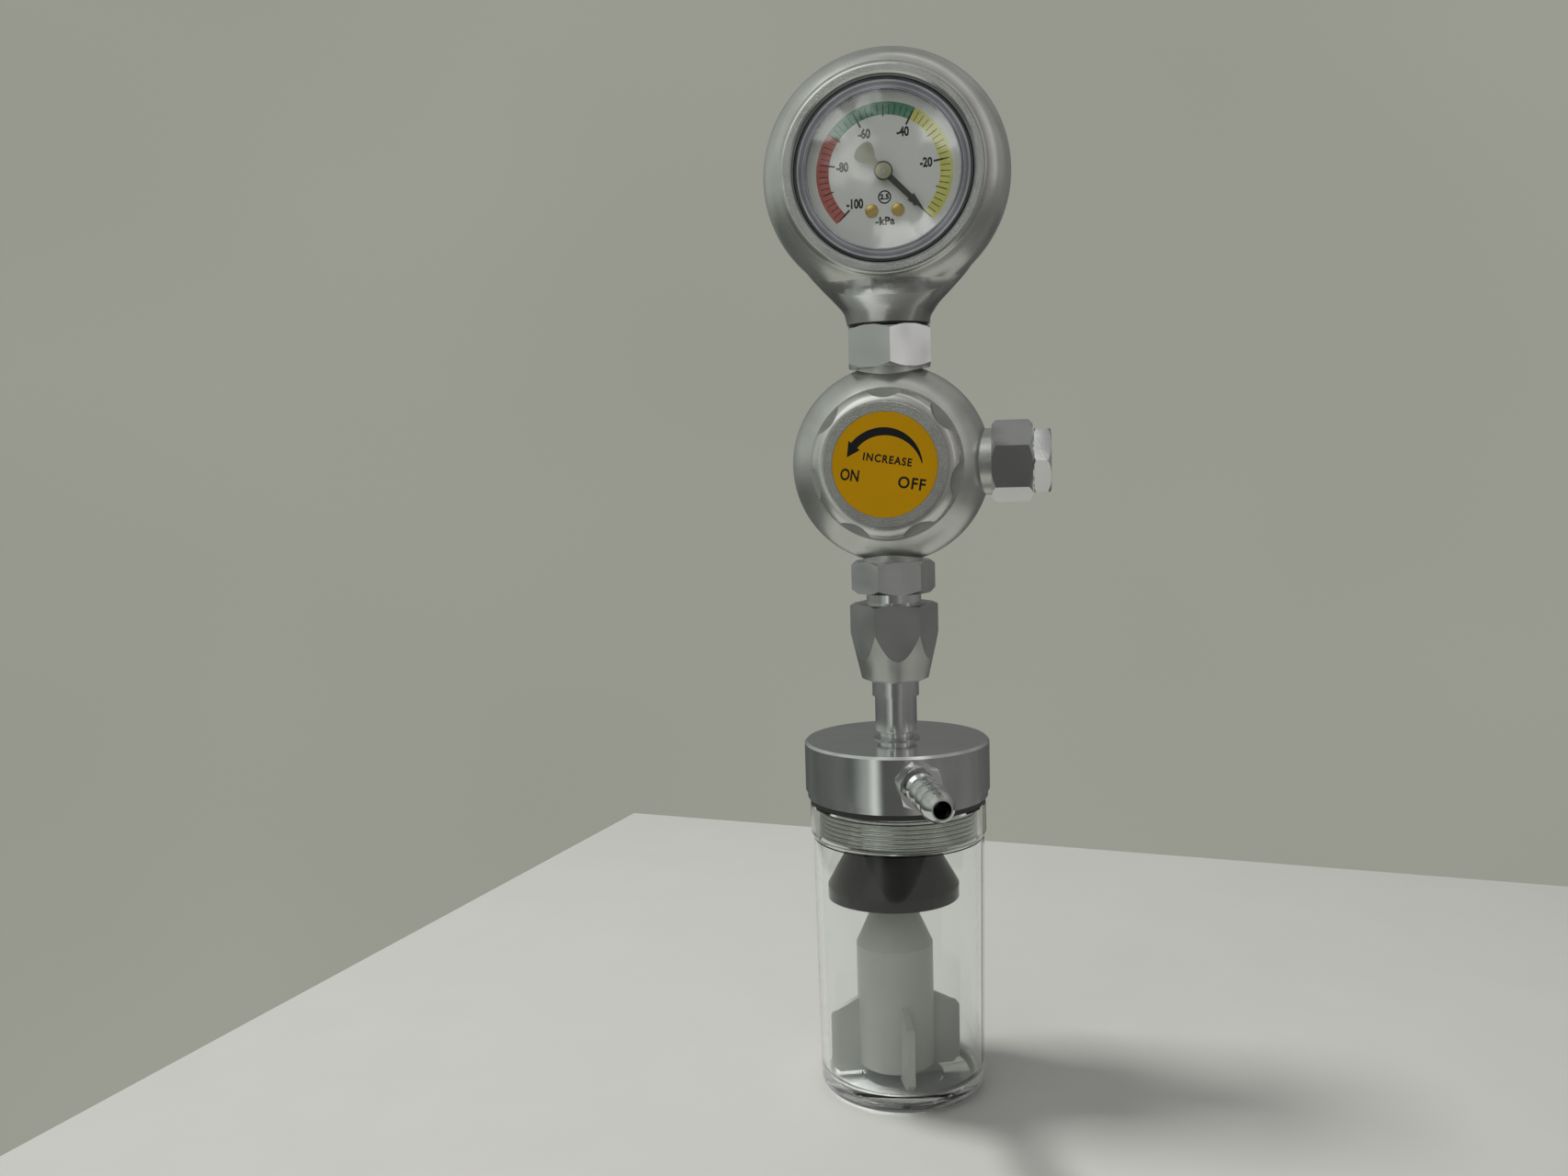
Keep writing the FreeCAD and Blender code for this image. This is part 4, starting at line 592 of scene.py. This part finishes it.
def bandFinish():
    look = dialLook
    gap = (1 - look["sweep"] / 360) / 2  # half the gap at the bottom, as a share of a turn

    def share(value):  # of a turn from straight down, clockwise
        return 1 - gap - (1 - 2 * gap) * value / look["span"]

    def make(tree):
        x, y, z = tree.axes(tree.place())
        turn = tree.node("ShaderNodeMath", {"operation": "ARCTAN2"}, {0: x, 1: z - dialHeight})
        stops = [(0.0, look["red"]), (share(look["redFrom"]), look["green"]),
                 (share(look["greenFrom"]), look["yellow"])]
        plain = tree.ramp((turn + math.pi) / (2 * math.pi), stops, "CONSTANT")
        grain = tree.noise(tree.place(), 900)
        return {"Base Color": tree.mixed(tree.spread(grain, 0.0, look["wear"]), plain, look["worn"]),
                "Roughness": tree.spread(grain, 0.42, 0.55)}
    return newFinish("bandInk", make)


tickRows = {
    # how many, then radius, length and width in millimetres, then how many print layers stand out
    "dialFineTicks": (51, 19.3, 3.0, 0.24, 1.5),
    "dialMiddleTicks": (11, 18.6, 3.2, 0.38, 1.7),
    "dialMainTicks": (6, 17.3, 3.0, 0.55, 1.9),
}


def tickMesh(name, count, radius, length, width):
    tree = ShapeTree(name, {
        "Count": ("Int", count), "Radius": ("Float", radius * mm), "Length": ("Float", length * mm),
        "Width": ("Float", width * mm), "Thick": ("Float", dialLook["printThick"]),
        "Start": ("Float", math.radians(dialLook["zero"])),
        "Sweep": ("Float", math.radians(dialLook["sweep"]))})
    arc = tree.node("GeometryNodeCurveArc", {"mode": "RADIUS"}, {
        "Resolution": tree.given("Count"), "Radius": tree.given("Radius"),
        "Start Angle": tree.given("Start"), "Sweep Angle": tree.given("Sweep")})
    size = tree.joinedAxes(tree.given("Length"), tree.given("Width"), tree.given("Thick"))
    tick = tree.node("GeometryNodeMeshCube", {}, {"Size": size})
    place = tree.node("GeometryNodeInputPosition")
    outward = tree.node("FunctionNodeAlignRotationToVector", {"axis": "X"}, {"Vector": place})
    ticks = tree.node("GeometryNodeInstanceOnPoints", {}, {
        "Points": arc, "Instance": tick, "Rotation": outward})
    return tree.result(ticks, printBlack)


def dialWords():
    look = dialLook
    thick = look["printThick"]
    meshes = []
    for words, value in look["numbers"].items():
        mesh = textMesh(words, look["numberHeight"], look["narrow"], thick, look["bold"])
        x, up = dialPoint(look["numberRadius"], value)
        mesh.transform(Matrix.Translation((x, up, 0)))
        meshes.append(mesh)
    for words, below, height in look["smallWords"]:
        mesh = textMesh(words, height, look["smallNarrow"], thick, look["smallBold"], look["smallSpacing"])
        mesh.transform(Matrix.Translation((0, -below, 0)))
        meshes.append(mesh)
    inner = look["ringRadius"] - look["ringWidth"]
    ring = arcMesh("ring", inner, look["ringRadius"], 0, 360, look["ringSteps"], thick)
    ring.transform(Matrix.Translation((0, -look["ringBelow"], 0)))
    return joined("dialWords", meshes + [ring])


def makeDialPrint():
    look = dialLook
    band = arcMesh("band", look["bandLow"], look["bandHigh"], look["zero"], look["sweep"], look["bandSteps"],
                   look["printThick"])
    band.transform(frontFacing(0, dialFace, dialHeight))
    keepPiece("dialBand", band, "head", bandFinish())
    for name, (count, radius, length, width, layer) in tickRows.items():
        ticks = tickMesh(name, count, radius, length, width)
        ticks.transform(frontFacing(0, dialFace - layer * look["printThick"], dialHeight))
        keepPiece(name, ticks, "head", printBlack)
    words = dialWords()
    words.transform(frontFacing(0, dialFace, dialHeight))
    keepPiece("dialNumbers", words, "head", printBlack)


makeDialPrint()
print("dial printed")


# Pointer, with a spear and a spade stamped from one sheet and a boss pressed over them

needleLook = {
    "sheet": 0.4 * mm, "turn": 45.0, "armHalf": 1.0 * mm, "armTaper": 0.85,
    "headHalf": 1.45 * mm, "headLength": 5.0 * mm, "tipHalf": 0.25 * mm, "tipBefore": 0.15 * mm,
    # distance from the hub's middle and half width, in millimetres
    "spade": ((3.4, 0.95), (4.8, 1.3), (6.3, 2.3), (7.7, 3.1), (8.9, 3.45), (9.9, 3.0), (10.6, 1.8),
              (10.9, 0.6)),
    "bossSide": 0.8 * mm, "bossTop": 0.92 * mm, "bossEdge": 0.12 * mm, "bossGroove": 0.72 * mm,
    "grooveSlope": 0.08 * mm, "bossFlat": 0.5 * mm,
}


def makeNeedle():
    look = needleLook
    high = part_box("pointer")[1]
    reach = high.x / math.cos(math.radians(look["turn"])) - look["tipBefore"]
    head = reach - look["headLength"]
    right = [(0, look["armHalf"]), (head, look["armHalf"] * look["armTaper"]), (head, look["headHalf"]),
             (reach, look["tipHalf"])]
    left = [(-along * mm, half * mm) for along, half in look["spade"]]
    upper = left[::-1] + right
    sheet = outlineMesh("sheet", upper + [(x, -y) for x, y in upper[::-1]], look["sheet"])
    inner, outer = pointerLook["dotRadius"], pointerLook["hubRadius"]
    groove = outer - pointerLook["rim"]
    collar = turnedMesh("collar", [
        (inner, 0), (outer, 0), (outer, look["bossSide"]), (outer - look["bossEdge"], look["bossTop"]),
        (groove, look["bossTop"]), (groove - look["grooveSlope"], look["bossGroove"]),
        (inner + look["bossFlat"], look["bossSide"]), (inner, look["bossSide"])])
    whole = joined("needle", [sheet, collar])
    whole.transform(frontFacing(0, high.y, dialHeight, math.radians(look["turn"])))
    piece = keepPiece("needle", whole, "pointer", pointerPaint)
    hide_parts("pointer")


makeNeedle()
print("pointer stamped")


# Slotted screws that hold the dial

screwLook = {"radius": 2.05 * mm, "rise": 0.75 * mm, "dome": 0.55, "slotWidth": 0.5 * mm,
             "slotDepth": 0.4 * mm, "rows": (1.0, 0.8, 0.55, 0.3), "cells": 24, "turns": (25.0, -40.0),
             "solidRadius": 2.0 * mm, "weld": 0.001 * mm}


def screwHead(turn):  # a domed head: rows of faces along the slot, with the slot's walls and floor let in
    look = screwLook
    shape = bmesh.new()
    across = [-row * look["radius"] for row in look["rows"]] + [-look["slotWidth"] / 2]
    across += [-value for value in reversed(across)]
    grid = []
    for value in across:
        half = math.sqrt(max(look["radius"] ** 2 - value ** 2, 0.0))
        column = []
        for step in range(look["cells"] + 1):
            along = half * (2 * step / look["cells"] - 1)
            reach = min(1.0, math.hypot(value, along) / look["radius"])
            up = look["rise"] * (1 - look["dome"] * reach ** 3)
            column.append(shape.verts.new((along, value, up)))
        grid.append(column)
    middle = len(across) // 2
    near, far = grid[middle - 1], grid[middle]
    lowNear, lowFar = ([shape.verts.new((v.co.x, v.co.y, v.co.z - look["slotDepth"])) for v in column]
                       for column in (near, far))
    pairs = [(grid[index], grid[index + 1]) for index in range(len(across) - 1) if index != middle - 1]
    pairs += [(near, lowNear), (lowFar, far), (lowNear, lowFar)]
    for first, second in pairs:
        for step in range(look["cells"]):
            shape.faces.new((first[step], first[step + 1], second[step + 1], second[step]))
    bmesh.ops.remove_doubles(shape, verts=shape.verts, dist=look["weld"])
    rim = [edge for edge in shape.edges if edge.is_boundary]
    skirt = bmesh.ops.extrude_edge_only(shape, edges=rim)
    for corner in skirt["geom"]:
        if isinstance(corner, bmesh.types.BMVert):
            corner.co.z = 0
    bmesh.ops.holes_fill(shape, edges=[edge for edge in shape.edges if edge.is_boundary])
    bmesh.ops.recalc_face_normals(shape, faces=shape.faces)
    mesh = savedMesh("screwHead", shape)
    mesh.transform(Matrix.Rotation(math.radians(turn), 4, "Z"))
    return mesh


def makeScrewHeads():
    low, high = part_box("dial_screws")
    across = (high.x - low.x) / 2 - screwLook["solidRadius"]
    heads = []
    for side, turn in zip((-1, 1), screwLook["turns"]):
        mesh = screwHead(turn)
        mesh.transform(frontFacing(side * across, dialFace, middleHeight("dial_screws")))
        heads.append(mesh)
    piece = keepPiece("dialScrewHeads", joined("dialScrewHeads", heads), "head", brass)
    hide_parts("dial_screws")


makeScrewHeads()
print("dial screws slotted")


# Knob label

labelLook = {
    "turn": 9.0, "printThick": 0.03 * mm,
    # across, up and height in millimetres, then narrowness, boldness and letter spacing
    "words": {"ON": (-10.3, -4.8, 3.6, 0.76, 0.11, 1.0), "OFF": (9.1, -4.8, 3.6, 0.92, 0.11, 1.12),
              "INCREASE": (0.6, 1.6, 2.4, 0.88, 0.10, 1.22)},
    "arcRadius": 12.0 * mm, "arcBelow": 1.7 * mm, "arcFrom": 18.0, "arcTo": 148.0, "arcSteps": 40,
    "thinEnd": 0.3 * mm, "thickEnd": 2.5 * mm, "swell": 1.5,
    "headWidth": 4.6 * mm, "headLength": 4.3 * mm, "tipOut": 0.2 * mm,
}


def arrowOutline():
    look = labelLook

    def point(out, turn):
        radius = look["arcRadius"] + out
        return radius * math.cos(turn), radius * math.sin(turn) - look["arcBelow"]

    outer, inner = [], []
    for step in range(look["arcSteps"] + 1):
        share = step / look["arcSteps"]
        turn = math.radians(look["arcFrom"] + (look["arcTo"] - look["arcFrom"]) * share)
        thicker = math.sin(min(1, share * look["swell"]) * math.pi / 2)
        half = (look["thinEnd"] + (look["thickEnd"] - look["thinEnd"]) * thicker) / 2
        outer.append(point(half, turn))
        inner.append(point(-half, turn))
    end = math.radians(look["arcTo"])
    tip = point(look["tipOut"], end + look["headLength"] / look["arcRadius"])
    head = [point(look["headWidth"] / 2, end), tip, point(-look["headWidth"] / 2, end)]
    return outer + head + inner[::-1]


def makeKnobPrint():
    look = labelLook
    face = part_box("knob_label")[0].y
    meshes = [outlineMesh("arrow", arrowOutline(), look["printThick"])]
    for words, (x, up, height, narrow, bold, spacing) in look["words"].items():
        mesh = textMesh(words, height * mm, narrow, look["printThick"], bold * mm, spacing)
        mesh.transform(Matrix.Translation((x * mm, up * mm, 0)))
        meshes.append(mesh)
    whole = joined("knobPrint", meshes)
    whole.transform(frontFacing(0, face, bodyHeight, math.radians(look["turn"])))
    keepPiece("knobPrint", whole, "knob", printBlack)


makeKnobPrint()
print("knob printed")


# Lid thread, seen through the jar's collar

threadLook = {"pitch": 1.5 * mm, "crest": 26.15 * mm, "rise": 0.7 * mm, "fromEdge": 0.9 * mm,
              "below": 2.2 * mm, "turnSteps": 160, "sides": 4}


def makeLidThread():
    look = threadLook
    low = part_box("lid")[0].z + look["fromEdge"]
    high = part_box("jar_gasket")[0].z - look["below"]
    tree = ShapeTree("lidThread", {
        "Turns": ("Float", (high - low) / look["pitch"]), "Radius": ("Float", look["crest"] - look["rise"]),
        "Height": ("Float", high - low), "Low": ("Float", low), "Rise": ("Float", look["rise"])})
    helix = tree.node("GeometryNodeCurveSpiral", {}, {
        "Resolution": look["turnSteps"], "Rotations": tree.given("Turns"), "Height": tree.given("Height"),
        "Start Radius": tree.given("Radius"), "End Radius": tree.given("Radius")})
    upright = tree.node("GeometryNodeSetCurveNormal", {"mode": "Z_UP"}, {"Curve": helix})
    outline = tree.node("GeometryNodeCurvePrimitiveCircle", {"mode": "RADIUS"}, {
        "Resolution": look["sides"], "Radius": tree.given("Rise")})
    ridge = tree.node("GeometryNodeCurveToMesh", {}, {
        "Curve": upright, "Profile Curve": outline, "Fill Caps": True})
    shift = tree.joinedAxes(0.0, 0.0, tree.given("Low"))
    raised = tree.node("GeometryNodeTransform", {}, {"Geometry": ridge, "Translation": shift})
    keepPiece("lidThread", tree.result(raised, threadPlate), "head", threadPlate)


makeLidThread()
print("thread cut")


# Camera, floor and light

cameraLook = {"place": (41.07 * mm, -449.46 * mm, 212.39 * mm), "yaw": 9.789, "pitch": 5.543, "roll": -1.561,
              "focalPixels": 1500.0, "imageWidth": 1706.0, "sensor": 36.0}


def makeCamera():
    look = cameraLook
    camera = bpy.data.cameras.new("photoCamera")
    camera.sensor_fit = "HORIZONTAL"
    camera.sensor_width = look["sensor"]
    camera.lens = look["focalPixels"] / look["imageWidth"] * look["sensor"]
    holder = bpy.data.objects.new("photoCamera", camera)
    bpy.context.scene.collection.objects.link(holder)
    facing = (Matrix.Rotation(math.radians(look["yaw"]), 4, "Z")
              @ Matrix.Rotation(math.radians(90 - look["pitch"]), 4, "X")
              @ Matrix.Rotation(math.radians(look["roll"]), 4, "Z"))
    holder.matrix_world = Matrix.Translation(Vector(look["place"])) @ facing
    bpy.context.scene.camera = holder


floorLook = {"colour": (0.62, 0.625, 0.59, 1), "uneven": 0.012, "patches": 30, "roughness": 0.55, "corners": (
    (-0.1895, 0.3352), (-0.305, -0.225), (0.32, -0.225), (0.32, 0.228), (0.2932, 0.2342))}
wallLook = {"colour": (0.315, 0.318, 0.275), "uneven": 0.04, "patches": 2.3}
roomLook = {
    "low": 0.61, "high": 0.22, "fadeTo": 0.8,  # what lights matt surfaces, from level to overhead
    # what metal mirrors: brightness in front, then what each side adds and the slopes over which it comes in
    "front": 0.18, "left": (0.26, 0.1, 0.9), "right": (0.09, 0.2, 0.9), "top": (0.20, 0.25, 0.9),
    # the shares that remain low on the left, behind and below, and the slopes over which the rest comes back
    "leftFoot": (0.15, -0.2, 0.15), "behind": (0.88, 0.6, -0.1), "under": (0.62, -0.2, -0.05),
    "patches": 1.9, "uneven": 0.25,
    "leftTint": (0.97, 1.02, 0.96, 1), "rightTint": (1.015, 0.99, 0.985, 1), "tintEdge": 0.5,
    # azimuth from the front to the right and half width in degrees, brightness, slopes of a strip's fade
    "strips": ((-22.5, 10.0, 0.42, 0.10, -0.10), (-32.0, 22.0, 0.24, 0.05, -0.15),
               (30.0, 18.0, 0.14, 0.05, -0.15), (-42.0, 13.0, 0.20, -0.15, 0.05),
               (66.0, 10.0, 0.44, -0.05, 0.05)),
    # place across and up, radius and brightness of the bright clouds that the lens mirrors
    "clouds": ((-0.112, 0.208, 0.021, 3.6), (-0.124, 0.224, 0.016, 3.0), (-0.050, 0.214, 0.019, 4.5),
               (-0.098, 0.240, 0.011, 3.0), (-0.062, 0.156, 0.014, 5.5), (-0.080, 0.149, 0.012, 4.5)),
    "cloudGrain": 34, "cloudRough": 0.030, "cloudCore": 0.1, "cloudRim": 1.2,
}
lampLook = {  # mirrored: whether metal shows the lamp
    "key": {"place": (-0.27, 0.02, 1.16), "size": 0.16, "power": 8.0, "colour": (1.0, 0.99, 0.96),
            "mirrored": False},
    "soft": {"place": (-0.5, -0.9, 1.2), "size": 1.0, "power": 2.5, "colour": (1.0, 1.0, 1.0),
             "mirrored": True},
}
lampTarget = (0, 0, 0.17)


def makeFloor():
    look = floorLook

    def make(tree):
        grain = tree.noise(tree.place(), look["patches"], 4.0)
        return {"Base Color": tinted(tree, look["colour"], look["uneven"], grain),
                "Roughness": look["roughness"]}
    mesh = bpy.data.meshes.new("floor")
    mesh.from_pydata([(x, y, 0) for x, y in look["corners"]], [], [range(len(look["corners"]))])
    floor = bpy.data.objects.new("floor", mesh)
    floor.data.materials.append(newFinish("floorPaint", make))
    bpy.context.scene.collection.objects.link(floor)


def mirroredRoom(tree, direction):  # soft walls, upright strips and clouds
    look = roomLook
    x, y, z = tree.axes(direction)

    def added(slope, side):
        most, start, end = look[side]
        return tree.eased(slope, start, end, 0, most)

    def remaining(slope, side):
        share, start, end = look[side]
        return tree.eased(slope, start, end, share, 1)

    leftSide = added(0 - x, "left") * remaining(z, "leftFoot")
    level = look["front"] + leftSide + added(x, "right") + added(z, "top")
    level = level * remaining(y, "behind") * remaining(z, "under")
    patches = tree.noise(direction, look["patches"])
    level = level * tree.spread(patches, 1 - look["uneven"], 1 + look["uneven"])
    for azimuth, half, brightness, low, high in look["strips"]:
        turn = math.radians(azimuth)
        aside = abs(x * math.cos(turn) + y * math.sin(turn))
        strip = tree.eased(aside, 0, math.sin(math.radians(half)), brightness, 0) * (y < 0)
        level = level + strip * tree.eased(z, low, high, 0, 1)
    rough = tree.noise(direction, look["cloudGrain"]) * (2 * look["cloudRough"]) - look["cloudRough"]
    for across, up, radius, brightness in look["clouds"]:
        aside, above = x - across, z - up
        far = (aside * aside + above * above) ** 0.5 + rough
        core, rim = radius * look["cloudCore"], radius * look["cloudRim"]
        level = level + tree.eased(far, core, rim, brightness, 0) * (y < 0)
    toRight = tree.eased(x, -look["tintEdge"], look["tintEdge"], 0, 1)
    return tree.scaled(tree.mixed(toRight, look["leftTint"], look["rightTint"]), level)


def makeWorld():
    world = bpy.data.worlds.new("room")
    bpy.context.scene.world = world
    world.use_nodes = True
    tree = Tree(world.node_tree)
    path = world.node_tree.nodes.new("ShaderNodeLightPath")
    camera, glossy, through = (Wire(tree, path.outputs[name]) for name in (
        "Is Camera Ray", "Is Glossy Ray", "Is Transmission Ray"))
    seen = tree.node("ShaderNodeMath", {"operation": "MAXIMUM"}, {0: camera, 1: through})
    direction = tree.node("ShaderNodeTexCoord", {}, {}, "Generated")
    x, y, z = tree.axes(direction)
    daylight = tree.eased(z, 0.0, roomLook["fadeTo"], roomLook["low"], roomLook["high"])
    lit = tree.mixed(glossy, daylight, mirroredRoom(tree, direction))
    patches = tree.noise(direction, wallLook["patches"])
    uneven = tree.spread(patches, 1 - wallLook["uneven"], 1 + wallLook["uneven"])
    wall = tree.scaled(wallLook["colour"], uneven)
    background = world.node_tree.nodes["Background"]
    world.node_tree.links.new(tree.mixed(seen, lit, wall).socket, background.inputs["Color"])


def makeLamps():
    for name, look in lampLook.items():
        lamp = bpy.data.lights.new(name, "AREA")
        lamp.size = look["size"]
        lamp.energy = look["power"]
        lamp.color = look["colour"]
        holder = bpy.data.objects.new(name, lamp)
        holder.location = look["place"]
        aim = Vector(lampTarget) - holder.location
        holder.rotation_euler = aim.to_track_quat("-Z", "Y").to_euler()
        holder.visible_glossy = look["mirrored"]
        bpy.context.scene.collection.objects.link(holder)


makeCamera()
makeFloor()
makeWorld()
makeLamps()
bpy.context.scene.view_settings.view_transform = "Standard"
print("stage set")
